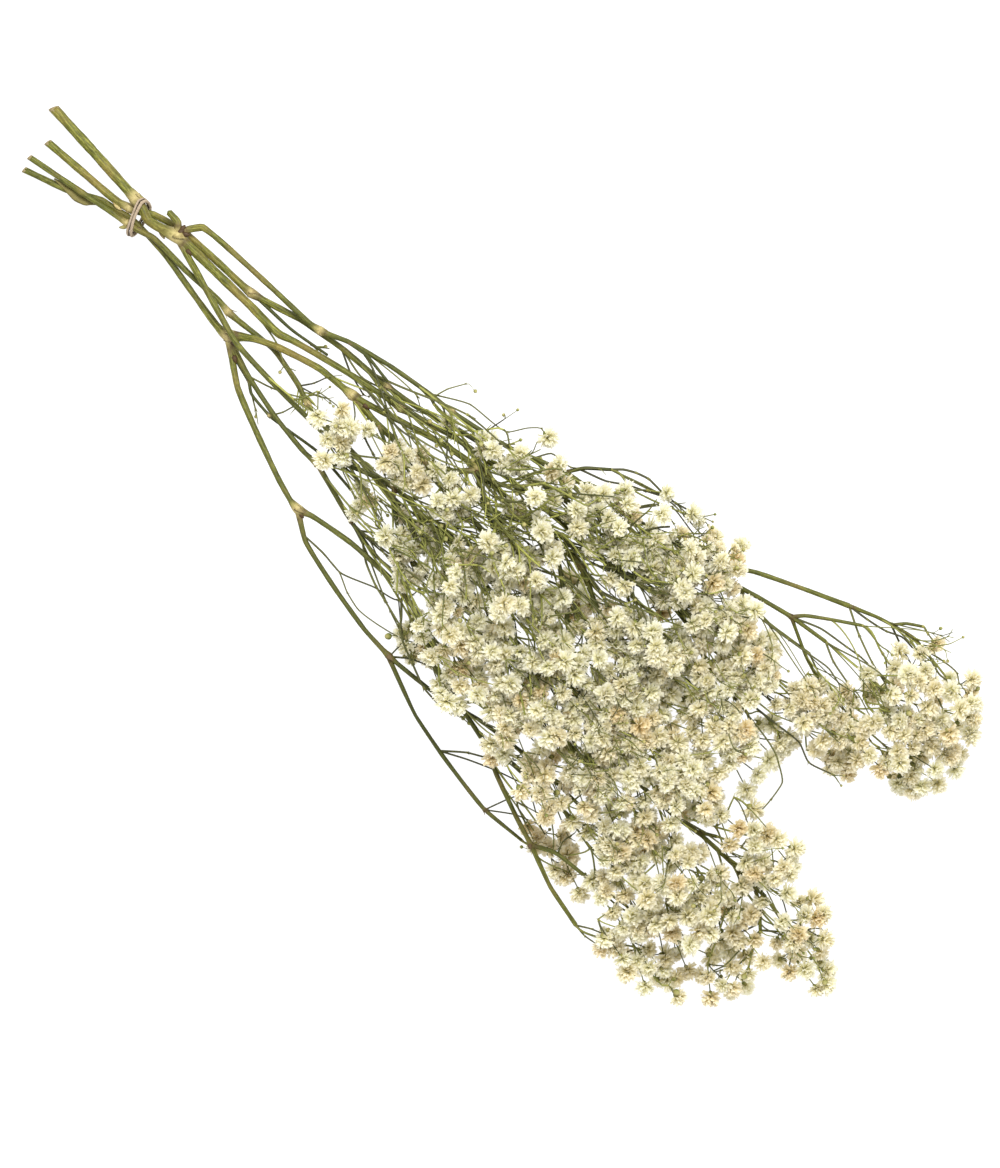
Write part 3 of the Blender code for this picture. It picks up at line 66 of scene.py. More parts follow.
stemRows = {
    "stem_1": [
        [(-247.3, -0.9, 2.0, 2.0), (-222, -2.5, 4.4, 2.0), (-200, -4.1, 7.2, 2.0), (-196, -4.3, 7.8, 2.25),
         (-191, -5.5, 9.0, 1.9), (-186, -7.2, 10.0, 1.85), (-178, -5.4, 11.2, 1.85), (-174.5, -4.2, 11.8, 2.2),
         (-172, -3.4, 12.2, 2.75), (-168, -3.2, 12.8, 1.8), (-150, -3.2, 15.2, 1.7), (-130, -3.2, 17.8, 1.6),
         (-112, -3.3, 20.2, 1.6), (-107.5, -1.7, 20.8, 1.25), (-80, 5, 25, 1.15), (-60, 8.75, 29, 1.1),
         (-54, 9.6, 30, 1.5), (-30, 16.3, 34, 1.1), (-10, 19.2, 37, 1.05), (15, 20.8, 40.5, 1.0),
         (31, 22, 42.5, 1.0), (60.8, 23.5, 45, 0.95), (82.3, 29.2, 47.5, 1.2), (95, 27.6, 47.5, 0.8),
         (107.7, 23, 46.5, 0.7), (113, 20.6, 47.2, 0.6), (120, 20.4, 46.6, 0.5)],
        [(-173, -2.5, 12.6, 1.5), (-176, 0.9, 13.2, 1.45), (-181.8, 1.4, 13.6, 1.25)],
        [(-172.5, -2.0, 12.4, 1.6), (-170.5, 2.3, 13.2, 1.4), (-167, 6.6, 14.2, 1.4), (-163, 7.2, 14.8, 1.15),
         (-130, 8.4, 18.2, 1.05), (-105, 9.0, 21.4, 1.0), (-101, 9.6, 22.0, 1.5), (-90, 14.2, 24.0, 0.95),
         (-70, 19.2, 27.2, 0.85), (-50, 22.3, 30.0, 0.85), (-37.5, 23.5, 31.8, 1.15), (-10, 29.2, 35.5, 0.85),
         (14, 38, 40, 0.85), (40, 42, 43, 0.85), (65, 48, 46, 0.85), (84.6, 53.5, 48, 1.0),
         (100, 63, 47, 0.85), (120, 72.3, 45, 0.8), (137.7, 80, 43, 0.95)],
        [(84.6, 53.5, 48, 0.9), (88.5, 52, 48, 0.85), (110, 56.8, 46, 0.8), (123.6, 60, 45, 1.0),
         (141, 62.5, 44, 0.65)],
        [(123.6, 60, 45, 0.8), (127, 64, 45.5, 0.65), (136, 70.5, 46, 0.6), (147, 77.7, 46, 0.55)],
        [(123.6, 60, 45, 0.8), (126.4, 58.6, 44, 0.6), (140, 52.3, 41, 0.55), (150, 49, 39, 0.5)],
        [(98, 54.2, 47.2, 0.7), (103.6, 52.4, 46, 0.8), (118, 51.5, 43, 0.6), (140, 54.3, 39, 0.55)],
        [(137.7, 80, 43, 0.8), (150, 85, 41, 0.6), (167, 89.3, 40, 0.55), (176, 88.4, 40, 0.55)],
        [(-171.5, -3.8, 12.2, 1.5), (-165.5, -5.9, 13.2, 1.3), (-154.5, -9.1, 16.4, 1.25),
         (-140, -13.6, 19, 1.2), (-122.7, -18.6, 21.2, 1.1), (-100, -20, 23.4, 1.0), (-80, -20.4, 25.6, 0.9),
         (-74, -20.7, 26, 0.85)],
        [(-90, 14.2, 24.0, 0.7), (-80, 15.6, 27.5, 0.55), (-66, 13.9, 30.5, 0.5)],
        [(-50, 22.3, 30.0, 0.7), (-45.5, 20.6, 31.4, 0.5)],
        [(14, 38, 40, 0.8), (18.5, 44.6, 41.6, 0.65), (27, 52, 42, 0.6)],
        [(40, 42, 43, 0.8), (43, 40.4, 46.2, 0.6)],
        [(65, 48, 46, 0.8), (70, 50.8, 49, 0.6)],
        [(60.8, 23.5, 45, 0.8), (64.5, 27, 49, 0.65)],
        [(82.3, 29.2, 47.5, 0.9), (86, 33, 50.5, 0.65)],
        [(100, 26.2, 47.2, 0.8), (111, 31, 46.5, 0.6), (121, 35, 45.5, 0.55)],
        [(95, 27.6, 47.5, 0.8), (104, 15, 47, 0.6), (112, 7, 46, 0.55)],
        [(102, 25, 47, 0.7), (109, 27, 51, 0.6)],
        [(156, 86.6, 40.6, 0.6), (160, 91.3, 41.4, 0.5), (165.5, 95, 42.4, 0.45)],
        [(50, 22.8, 44.2, 0.7), (56, 24.6, 40, 0.55)],
    ],
    "stem_2": [
        [(-239.3, -12.9, 1.5, 1.5), (-220, -11.7, 2.6, 1.5), (-200, -10.3, 4.1, 1.5), (-195.5, -8.9, 4.7, 1.75),
         (-191, -6.8, 5.0, 1.4), (-186, -3.9, 5.7, 1.4), (-174.5, -0.6, 7.4, 1.4), (-150, 0.5, 11.6, 1.4),
         (-133.2, 0.9, 14.2, 1.8), (-128, 2.2, 14.8, 1.3), (-110, 7.4, 16.2, 1.2), (-90, 10.6, 19, 1.1),
         (-64.6, 12.3, 23.4, 1.4), (-50, 14.6, 25.5, 0.95), (-30, 20, 28.6, 0.95), (-10, 24.2, 31.6, 0.9),
         (10, 27.5, 34.5, 0.9), (50, 34, 38.5, 0.8), (90, 40, 40, 0.7)],
        [(-131, 1.2, 14.4, 0.7), (-110, 1.6, 16.6, 0.5), (-92, 4.4, 19, 0.45)],
        [(10, 27.5, 34.5, 0.8), (15, 29, 37.5, 0.6)],
        [(50, 34, 38.5, 0.7), (56, 36.5, 34, 0.55)],
    ],
    "stem_3": [
        [(-240.5, -22.7, 3.4, 1.1), (-225, -20, 4.3, 1.1), (-212, -17.7, 5.3, 1.15), (-200, -15.5, 6.7, 1.1),
         (-191.8, -14.3, 7.7, 1.25), (-186.4, -13.2, 8.7, 1.1), (-180, -11.1, 9.5, 1.1),
         (-160, -11.4, 10.8, 1.1), (-140, -10.9, 11.8, 1.1), (-135, -11.6, 12.2, 1.45),
         (-130, -11.3, 12.6, 1.1), (-110, -9.6, 14, 1.0), (-91.7, -13.3, 16.5, 1.0), (-84, -16.2, 18, 1.2),
         (-60, -17.5, 21, 0.95), (-45, -18, 23, 0.95), (-30, -20, 24, 0.95), (-10, -22, 26, 0.9),
         (30, -26, 30, 0.85), (70, -28, 33, 0.8), (110, -26, 34, 0.7)],
        [(-30, -20, 24, 0.8), (-25, -22.5, 26.5, 0.6)],
        [(30, -26, 30, 0.7), (36, -29, 25.5, 0.55)],
        [(70, -28, 33, 0.7), (76, -25, 28.5, 0.55)],
    ],
    "stem_4": [
        [(-238.6, -28, 1.2, 1.2), (-228, -24.5, 1.5, 1.2), (-220, -21.8, 1.9, 1.2), (-212, -17.6, 2.2, 1.15),
         (-206.4, -14.7, 2.7, 1.15), (-199, -13.2, 3.6, 1.15), (-191, -11.6, 4.6, 1.15),
         (-186, -11.6, 5.3, 1.15), (-172.7, -12.4, 6.6, 1.15), (-150, -16.4, 10, 1.15),
         (-131, -19.2, 13.4, 1.4), (-127.5, -18.6, 14, 2.3), (-123.5, -15.3, 15.6, 1.5),
         (-119, -12.2, 17.4, 1.35), (-110, -8, 19.2, 1.3), (-90, -2, 22.4, 1.25),
         (-76, -0.8, 24.6, 1.25), (-72.5, -0.5, 25.2, 1.8), (-50, 5.8, 30, 1.2),
         (-30, 11.3, 35, 1.15), (-13, 14, 38.5, 1.7), (14.6, 12.7, 43, 1.1), (29.6, 14.2, 45, 1.4),
         (45.4, 14.6, 47, 1.5), (60, 7.7, 47.4, 0.9), (67, 5, 47, 0.8)],
        [(-72.5, -0.5, 25.2, 1.5), (-60, -1.7, 26, 1.2), (-30, -1.7, 30, 1.1), (15, -4, 36, 1.0),
         (34, -6, 38.5, 0.8)],
        [(-56, -1.7, 26.5, 0.9), (-49, -5.2, 31, 0.6)],
        [(25, -5, 37.2, 0.8), (36, -1, 35, 0.6)],
        [(-13, 13.2, 38.5, 1.3), (-20, 5.8, 40, 1.1), (-31.7, 0.8, 41, 1.15), (-27, -0.6, 41.4, 0.8)],
        [(-12.4, 13.2, 38.7, 1.2), (-4, 6, 40, 0.9), (9, 0.4, 41.4, 0.7)],
        [(29.6, 14.2, 45, 1.0), (40, 7.7, 46, 0.8), (60, -8, 47, 0.8), (77, -20, 46, 0.8),
         (98.5, -33.8, 43, 0.85), (115, -34, 40.5, 0.8), (146, -33.5, 36, 1.15), (160, -31.5, 33.6, 0.8),
         (185, -31, 29, 0.75), (197.5, -31.5, 27, 0.8)],
        [(77, -20, 46, 0.7), (84, -20.5, 48.6, 0.6)],
        [(90, -28.2, 44.3, 0.7), (88, -35.6, 45.6, 0.6), (92, -41, 46, 0.55)],
        [(69, -14, 46.5, 0.7), (69, -19, 48.6, 0.6), (71, -22, 49.4, 0.5)],
        [(146, -33.5, 36, 0.9), (151, -39, 36, 0.6)],
        [(158, -31.6, 33.9, 0.7), (165, -27.5, 35, 0.6)],
        [(191, -31.3, 28, 0.8), (198, -35.5, 26, 0.65), (206, -43, 24, 0.6)],
        [(180, -31.2, 30, 0.7), (188, -35, 27, 0.6)],
        [(115, -34, 40.5, 0.7), (124, -28, 42, 0.6)],
        [(-126, -20, 14, 1.7), (-120, -24.5, 14.6, 1.2), (-110, -31.5, 15.8, 1.2), (-90, -40, 17.8, 1.15),
         (-70, -47.5, 19.8, 1.05), (-60, -50.4, 21, 1.0), (-56, -50.8, 21.4, 1.7), (-50, -48.8, 22.4, 1.0),
         (-30, -45.4, 25.6, 1.0), (0, -45, 29.4, 1.0), (15, -49, 31, 0.95), (29, -57, 32, 0.95),
         (49, -62.3, 31.6, 0.9), (68.8, -67, 30, 1.2), (80, -72.3, 29, 0.85), (100, -80, 28, 0.85),
         (112, -84, 27.4, 1.2), (130, -91, 24.5, 0.75), (149, -95.2, 22.5, 0.8)],
        [(-55.5, -51.2, 21.2, 1.2), (-45, -57.9, 20.8, 0.9), (-20, -64.2, 20.8, 0.9), (0, -67.7, 21.4, 0.85),
         (14.6, -68.5, 22, 1.5), (40, -66.2, 22.4, 0.7), (60, -61.5, 22.4, 0.7), (90, -58, 23, 0.65),
         (115, -58, 24, 0.6)],
        [(14.6, -69, 22, 0.9), (40, -78.8, 20, 0.6), (57, -82.5, 19, 0.75), (88, -87, 18, 0.75),
         (108, -85.5, 17, 0.55)],
        [(68.8, -66.6, 30, 0.9), (80, -65.2, 31.5, 0.75), (106, -64.2, 33.5, 0.7), (116, -64, 34, 0.65)],
        [(112, -84, 27.4, 0.9), (121, -79.4, 28.4, 0.75), (138, -77.5, 28.6, 0.65)],
        [(-126.5, -19.8, 14.2, 1.5), (-110, -25, 16.4, 0.95), (-90, -29.4, 18.8, 0.9), (-70, -31.7, 21.4, 0.9),
         (-63.3, -31.3, 22.4, 1.4), (-55, -23.8, 25.6, 0.8), (-45, -19.6, 29, 0.8), (-34, -15.5, 31.6, 1.2),
         (-20, -16.3, 33.6, 0.75), (0, -16.3, 36.6, 0.75), (20, -15.4, 39.6, 0.65)],
        [(-33.6, -15.8, 31.6, 0.9), (-29, -20.5, 32, 0.65), (-20, -27.5, 32, 0.65), (-10, -32, 32, 0.65),
         (0, -36, 32.6, 0.7)],
        [(-62.5, -31.6, 22.2, 1.0), (-36.7, -38.8, 22.6, 0.8), (-20, -42, 23, 0.6), (-8, -42, 23.6, 0.55)],
        [(-110, -25, 16.4, 0.6), (-104, -29.4, 16.6, 0.5), (-92, -30.8, 17.4, 0.65), (-66, -27.6, 19.4, 0.45),
         (-46, -29.4, 21.4, 0.45)],
        [(15, -49, 31, 0.8), (19, -50.6, 34.6, 0.6)],
        [(0, -16.3, 36.6, 0.7), (3, -19.5, 39.5, 0.55)],
        [(76, -65.6, 31, 0.7), (84, -64.4, 35, 0.6)],
        [(49, -62.3, 31.6, 0.7), (52, -58.6, 34.8, 0.6)],
    ],
}

# spray_01 onward: root x y z, clumps of blooms: centre x y z, half sizes x y z, blooms
sprayRows = [
    ((-74, -20.7, 26), [(-64, -8, 34, 7, 8, 8, 3), (-60, -23, 34, 7, 8, 8, 3)]),
    ((-45.5, 20.6, 31.4), [(-34, 18, 36, 2, 2, 2, 1), (-17, 23, 43, 3, 2, 2, 1),
                           (-4, 25, 46, 3, 2, 2, 1)]),
    ((27, 52, 42), [(41, 49, 50, 6, 4, 5, 2), (49, 61, 44, 2, 1.5, 2, 1), (67, 63, 45, 2, 2, 2, 1)]),
    ((43, 40.4, 46.2), [(56, 38, 57, 13, 11, 8, 6)]),
    ((70, 50.8, 49), [(87, 55, 55, 11, 9, 10, 6)]),
    ((176, 88.4, 40), [(197, 86, 38, 10, 7, 11, 5), (210, 78, 30, 6, 8, 9, 3)]),
    ((147, 77.7, 46), [(178, 79, 50, 11, 8, 8, 4), (173, 70, 26, 10, 9, 11, 4)]),
    ((141, 62.5, 44), [(190, 65, 42, 13, 9, 11, 6), (163, 64, 44, 7, 6, 7, 2), (211, 64, 26, 6, 7, 9, 2)]),
    ((150, 49, 39), [(184, 50, 42, 14, 9, 10, 5), (207, 50, 24, 9, 8, 11, 4)]),
    ((64.5, 27, 49), [(74, 38, 60, 10, 9, 7, 5)]),
    ((86, 33, 50.5), [(100, 41, 59, 12, 9, 8, 6)]),
    ((109, 27, 51), [(124, 27, 56, 10, 12, 8, 6)]),
    ((121, 35, 45.5), [(158, 41, 42, 14, 10, 9, 5), (179, 34, 26, 8, 8, 12, 3),
                       (172, 44, 5, 4, 4, 0.5, 1)]),
    ((112, 7, 46), [(134, 4, 50, 13, 11, 10, 7)]),
    ((15, 29, 37.5), [(28, 32, 47, 14, 9, 9, 6)]),
    ((56, 36.5, 34), [(72, 42, 13, 15, 12, 10, 6), (80, 46, 5, 3, 3, 0.5, 1)]),
    ((90, 40, 40), [(122, 38, 18, 18, 12, 14, 6)]),
    ((-25, -22.5, 26.5), [(-11, -27, 36, 8, 8, 8, 3), (-3, -41, 37, 2, 2, 2, 1)]),
    ((36, -29, 25.5), [(52, -37, 14, 15, 12, 10, 6), (62, -47, 5, 3, 3, 0.5, 1)]),
    ((76, -25, 28.5), [(94, -20, 15, 15, 16, 11, 6)]),
    ((110, -26, 34), [(136, -16, 18, 15, 14, 12, 6)]),
    ((-27, -0.6, 41.4), [(-12, -3, 46, 8, 8, 7, 4)]),
    ((-49, -5.2, 31), [(-35, -6.5, 39, 7, 7, 7, 4)]),
    ((34, -6, 38.5), [(49, -9, 52, 9, 9, 8, 5)]),
    ((9, 0.4, 41.4), [(24, 6, 51, 11, 8, 8, 4), (28, -8, 52, 10, 7, 8, 4)]),
    ((67, 5, 47), [(79, 11, 58, 6, 6, 5, 2), (90, -5, 57, 13, 11, 8, 6)]),
    ((84, -20.5, 48.6), [(103, -21, 57, 13, 11, 8, 6)]),
    ((92, -41, 46), [(107, -43, 53, 12, 10, 9, 6)]),
    ((124, -28, 42), [(137, -19, 51, 12, 11, 8, 5), (152, -20, 38, 10, 9, 10, 4)]),
    ((197.5, -31.5, 27), [(242.5, -40, 20, 0.5, 0.5, 1, 1), (229, -38, 20, 12, 12, 11, 5),
                          (217, -24, 27, 8, 9, 9, 3)]),
    ((20, -15.4, 39.6), [(64, -23, 58, 12, 9, 7, 4), (42, -22, 53, 9, 6, 6, 3)]),
    ((0, -36, 32.6), [(26, -35, 49, 12, 9, 8, 5), (48, -37, 54, 9, 8, 8, 4)]),
    ((19, -50.6, 34.6), [(34, -51, 43, 10, 9, 8, 5)]),
    ((52, -58.6, 34.8), [(67, -48, 48, 10, 9, 9, 5), (72, -60, 39, 8, 6, 7, 2)]),
    ((116, -64, 34), [(136, -55, 43, 14, 12, 9, 7)]),
    ((115, -58, 24), [(144, -50, 13, 17, 14, 9, 6)]),
    ((108, -85.5, 17), [(124, -79, 17, 10, 7, 10, 4)]),
    ((138, -77.5, 28.6), [(159, -72, 32, 13, 9, 12, 6)]),
    ((149, -95.2, 22.5), [(172, -86, 22, 13, 7, 12, 5), (193, -81, 17, 8, 7, 11, 3)]),
    ((-46, -29.4, 21.4), [(-34, -29, 28, 4, 6, 5, 2)]),
    ((-8, -42, 23.6), [(16, -56, 16, 10, 8, 10, 4)]),
    ((165.5, 95, 42.4), [(175.5, 93.4, 44, 0.5, 0.5, 1, 1)]),
    ((206, -43, 24), [(213, -60, 18, 9, 11, 12, 5), (204, -75, 13, 6, 6, 8, 2)]),
    ((84, -64.4, 35), [(100, -61, 43, 11, 9, 9, 6)]),
    ((71, -22, 49.4), [(80, -35, 56, 7, 8, 7, 4)]),
    ((3, -19.5, 39.5), [(13, -21, 48, 10, 8, 8, 5)]),
    ((151, -39, 36), [(160, -49, 43, 11, 9, 9, 4), (179, -53, 35, 11, 11, 11, 5)]),
    ((120, 20.4, 46.6), [(149, 18, 43, 14, 12, 10, 6)]),
    ((165, -27.5, 35), [(184, -19, 36, 13, 9, 10, 6)]),
    ((36, -1, 35), [(58, 4, 24, 13, 13, 13, 5)]),
    ((56, 24.6, 40), [(84, 18, 34, 14, 11, 11, 5)]),
    ((188, -35, 27), [(194, -49, 20, 10, 9, 12, 4), (198, -58, 5, 3, 3, 0.5, 1)]),
]
sprays = [("spray_%02d" % k, *row) for k, row in enumerate(sprayRows, 1)]


def unit(v):
    length = math.sqrt(float(np.dot(v, v)))
    return v / length if length > 1e-9 else np.array([0.0, 0.0, 1.0])


def gapToRods(a, b, starts, ends, radii):
    # least gap between the rod from a to b and other rods
    if len(radii) == 0:
        return 1e9
    d1 = b - a
    d2 = ends - starts
    r = a - starts
    aa = max(float(d1 @ d1), 1e-12)
    ee = np.maximum(np.einsum("ij,ij->i", d2, d2), 1e-12)
    ff = np.einsum("ij,ij->i", d2, r)
    cc = r @ d1
    bb = d2 @ d1
    denom = aa * ee - bb * bb
    s = np.where(denom > 1e-9, (bb * ff - cc * ee) / np.maximum(denom, 1e-9), 0.0)
    s = np.clip(s, 0.0, 1.0)
    t = np.clip((bb * s + ff) / ee, 0.0, 1.0)
    s = np.clip((bb * t - cc) / aa, 0.0, 1.0)
    apart = (a + s[:, None] * d1) - (starts + t[:, None] * d2)
    return float(np.min(np.sqrt(np.einsum("ij,ij->i", apart, apart)) - radii))


def gapToBalls(a, b, centres, radii):
    # least gap between the rod from a to b and balls
    if len(radii) == 0:
        return 1e9
    d = b - a
    t = np.clip(((centres - a) @ d) / max(float(d @ d), 1e-12), 0.0, 1.0)
    apart = centres - (a + t[:, None] * d)
    return float(np.min(np.sqrt(np.einsum("ij,ij->i", apart, apart)) - radii))


class Room:
    # rods and balls that are taken already, and the piece that each belongs to
    def __init__(self):
        self.rods = []
        self.balls = []

    def addRod(self, a, b, radius, owner):
        self.rods.append((a, b, radius, owner))

    def addBall(self, centre, radius, owner):
        self.balls.append((centre, radius, owner))

    def others(self, owner, low, high):
        # rods and balls of other pieces that reach into a box
        rods = [rod[:3] for rod in self.rods if rod[3] != owner
                and np.all(np.minimum(rod[0], rod[1]) < high) and np.all(np.maximum(rod[0], rod[1]) > low)]
        balls = [ball[:2] for ball in self.balls if ball[2] != owner
                 and np.all(ball[0] < high) and np.all(ball[0] > low)]
        return (np.array([a for a, _, _ in rods]).reshape(-1, 3),
                np.array([b for _, b, _ in rods]).reshape(-1, 3),
                np.array([radius for _, _, radius in rods]), np.array([p for p, _ in balls]).reshape(-1, 3),
                np.array([radius for _, radius in balls]) * growth["bloomReach"])


def stemRods(room):
    for name, branches in stemRows.items():
        for rows in branches:
            for p, q in zip(rows, rows[1:]):
                room.addRod(np.array(p[:3], float), np.array(q[:3], float), max(p[3], q[3]), name)


def boxRound(points):
    points = np.array(points)
    return points.min(axis=0) - growth["boxMargin"], points.max(axis=0) + growth["boxMargin"]


def scatterBlooms(room, rng):
    blooms = {}
    for name, root, clumps in sprays:
        root = np.array(root, float)
        chosen = []
        near = [np.array(clump[:3]) + side * np.array(clump[3:6]) for clump in clumps for side in (-1, 1)]
        starts, ends, radii, balls, ballRadii = room.others(name, *boxRound(near))
        for cx, cy, cz, hx, hy, hz, count in clumps:
            radius = growth["bloomRadius"] * (1.0 if hx > growth["loneClump"] else growth["loneShare"])
            for _ in range(count):
                for _ in range(growth["bloomTries"]):
                    u = np.array([rng.uniform(-1, 1) for _ in range(3)])
                    if float(u @ u) > 1.15:
                        continue
                    p = np.array([cx, cy, cz]) + u * np.array([hx, hy, hz])
                    p[2] = max(p[2], radius * 0.72)
                    if np.linalg.norm(p - root) < radius + 3.0:
                        continue
                    if any(np.linalg.norm(p - q) < growth["bloomSpacing"] for q, _ in chosen):
                        continue
                    if gapToBalls(p, p, balls, ballRadii) < radius * growth["bloomReach"] + growth["nodeGap"]:
                        continue
                    if gapToRods(p, p, starts, ends, radii) < radius * 0.85 + growth["nodeGap"]:
                        continue
                    chosen.append((p, radius))
                    break
        for p, radius in chosen:
            room.addBall(p, radius, name)
        blooms[name] = chosen
    return blooms


def splitGroup(group):
    # two halves of a group of blooms, cut across its longest way
    points = np.array([p for p, _ in group])
    spread = points - points.mean(axis=0)
    axis = np.linalg.eigh(spread.T @ spread)[1][:, -1]
    if axis[np.argmax(np.abs(axis))] < 0:
        axis = -axis
    order = sorted(range(len(group)), key=lambda i: float(spread[i] @ axis))
    half = len(order) // 2
    return [group[i] for i in order[:half]], [group[i] for i in order[half:]]


def turnOf(direction, a, b):
    return math.degrees(math.acos(max(-1.0, min(1.0, float(direction @ unit(b - a))))))


class Grower:
    # forks and stalks of one spray that reach its blooms and keep clear of all else
    def __init__(self, around, rng, root, blooms):
        self.rng = rng
        self.root = root
        self.starts, self.ends, self.radii, self.balls, self.ballRadii = around
        self.blooms = blooms
        self.own = []
        self.lost = 0

    def clear(self, a, b, target=None):
        near = a + unit(b - a) * growth["rootSkip"] if np.allclose(a, self.root) else a
        if min(near[2], b[2]) < growth["twigRadius"] + 0.4:
            return False
        apart = growth["twigRadius"] + growth["nodeGap"]
        if gapToRods(near, b, self.starts, self.ends, self.radii) < apart:
            return False
        if gapToBalls(near, b, self.balls, self.ballRadii) < apart:
            return False
        others = [(p, radius) for p, radius in self.blooms if p is not target]
        centres = np.array([p for p, _ in others])
        if others and gapToBalls(near, b, centres,
                                 np.array([r * growth["ownReach"] for _, r in others])) < growth["twigRadius"]:
            return False
        thick = np.array([growth["twigRadius"]])
        for p, q in self.own:
            if np.allclose(p, a) or np.allclose(q, a):
                continue
            if gapToRods(a, b, p[None, :], q[None, :], thick) < growth["twigRadius"] + 0.15:
                return False
        return True

    def farFromSisters(self, base, goal):
        way = unit(goal - base)
        return all(float(way @ unit(q - p)) < growth["sisterCosine"]
                   for p, q in self.own if np.allclose(p, base))

    def pedicel(self, base, direction, bloom):
        # stalk of one bloom, straight or by way of one bend
        centre, radius = bloom
        sway, moreSway = 1.0, 0.3
        for turn in range(growth["stalkTries"]):
            via = None
            start = base
            if turn:
                aside = np.array([self.rng.uniform(-1, 1) for _ in range(3)]) * (sway + moreSway * turn)
                via = base + (centre - base) * self.rng.uniform(0.25, 0.7) + aside
                via[2] = max(via[2], growth["lowest"])
                start = via
                if turnOf(unit(via - base), via, centre) > growth["maxTurn"]:
                    continue
            first = via if turn else centre
            if turnOf(direction, base, first) > growth["maxTurn"] + 6:
                continue
            if not self.farFromSisters(base, first):
                continue
            foot = centre - unit(centre - start) * radius * growth["baseDrop"]
            if turn and not self.clear(base, via):
                continue
            if np.linalg.norm(foot - start) > 2.0 and self.clear(start, foot, centre):
                if turn:
                    self.own.append((base, via))
                self.own.append((start, foot))
                return {"at": base, "via": via, "bloom": bloom}
        self.lost += 1
        return None

    def halvesOf(self, group, fork):
        if len(group) < 3 or len(group) % 2 == 0:
            return splitGroup(group)
        first = min(group, key=lambda g: float(np.linalg.norm(g[0] - fork)))
        return ([first],) + splitGroup([g for g in group if g is not first])

    def grow(self, base, direction, group):
        if len(group) == 1:
            stalk = self.pedicel(base, direction, group[0])
            return [stalk] if stalk else []
        centroid = np.array([p for p, _ in group]).mean(axis=0)
        nearest = min(float(np.linalg.norm(p - base)) for p, _ in group)
        reach = min(0.55 * float(np.linalg.norm(centroid - base)), 0.8 * nearest)
        sway, moreSway = 0.8, 0.14
        for trial in range(growth["forkTries"]):
            share = max(0.12, 1.0 - 0.01 * trial)
            aside = np.array([self.rng.uniform(-1, 1) for _ in range(3)]) * (sway + moreSway * trial)
            fork = base + unit(centroid - base) * reach * share + aside
            fork[2] = max(fork[2], growth["lowest"])
            if (np.linalg.norm(fork - base) < growth["minFork"]
                    or turnOf(direction, base, fork) > growth["maxTurn"]):
                continue
            onward = unit(fork - base)
            halves = self.halvesOf(group, fork)
            ways = [np.array([p for p, _ in half]).mean(axis=0) for half in halves]
            if any(turnOf(onward, fork, way) > growth["maxTurn"] for way in ways):
                continue
            if not self.farFromSisters(base, fork) or not self.clear(base, fork):
                continue
            self.own.append((base, fork))
            children = [self.grow(fork, onward, half) for half in halves]
            children = [child[0] for child in children if child]
            return [{"at": base, "fork": fork, "children": children}] if children else []
        stalk = self.pedicel(base, direction, group[0])
        self.lost += len(group) - 1
        return [stalk] if stalk else []


def noteTwigs(room, name, entries):
    for entry in entries:
        if "fork" in entry:
            room.addRod(entry["at"], entry["fork"], growth["twigRadius"], name)
            noteTwigs(room, name, entry["children"])
        else:
            centre, radius = entry["bloom"]
            start = entry["at"]
            if entry["via"] is not None:
                room.addRod(start, entry["via"], growth["twigRadius"], name)
                start = entry["via"]
            room.addRod(start, centre, growth["twigRadius"], name)


def rootDirection(name, root):
    # way of the branch tip that a spray grows from
    for rows in [rows for branches in stemRows.values() for rows in branches]:
        if math.dist(rows[-1][:3], root) < 0.01:
            return unit(np.array(rows[-1][:3], float) - np.array(rows[-2][:3], float))
    raise ValueError(name + " has no branch tip")


def layOut():
    # start, direction and twigs of every spray, each the best of some attempts
    rng = random.Random(growth["seed"])
    room = Room()
    stemRods(room)
    blooms = scatterBlooms(room, rng)
    plan = {}
    for name, root, _ in sprays:
        direction = rootDirection(name, root)
        start = np.array(root, float) + direction * growth["rootGap"]
        best = None
        around = room.others(name, *boxRound([start] + [p for p, _ in blooms[name]]))
        for attempt in range(growth["attempts"]):
            grower = Grower(around, random.Random("%s %d" % (name, attempt)), start, blooms[name])
            grown = grower.grow(start, direction, blooms[name])
            if best is None or grower.lost < best[0]:
                best = (grower.lost, grown)
            if best[0] == 0:
                break
        entries = best[1]
        noteTwigs(room, name, entries)
        plan[name] = (start, direction, entries)
    return plan


class Pile:
    # points, faces and colour hints of one piece, gathered before it becomes a mesh
    def __init__(self):
        self.points = []
        self.tints = []
        self.grains = []
        self.faces = []
        self.finish = []
        self.count = 0

    def add(self, points, faces, finish, tint, grain=None):
        points = np.asarray(points, float).reshape(-1, 3)
        total = len(points)
        self.points.append(points)
        self.tints.append(np.broadcast_to(np.asarray(tint, float), (total, 4)))
        self.grains.append(np.zeros((total, 3)) if grain is None else grain)
        for block in faces:
            if len(block):
                self.faces.append(np.asarray(block, int) + self.count)
                self.finish.append(finish)
        self.count += total

    def triangles(self):
        return sum(len(block) * (block.shape[1] - 2) for block in self.faces)


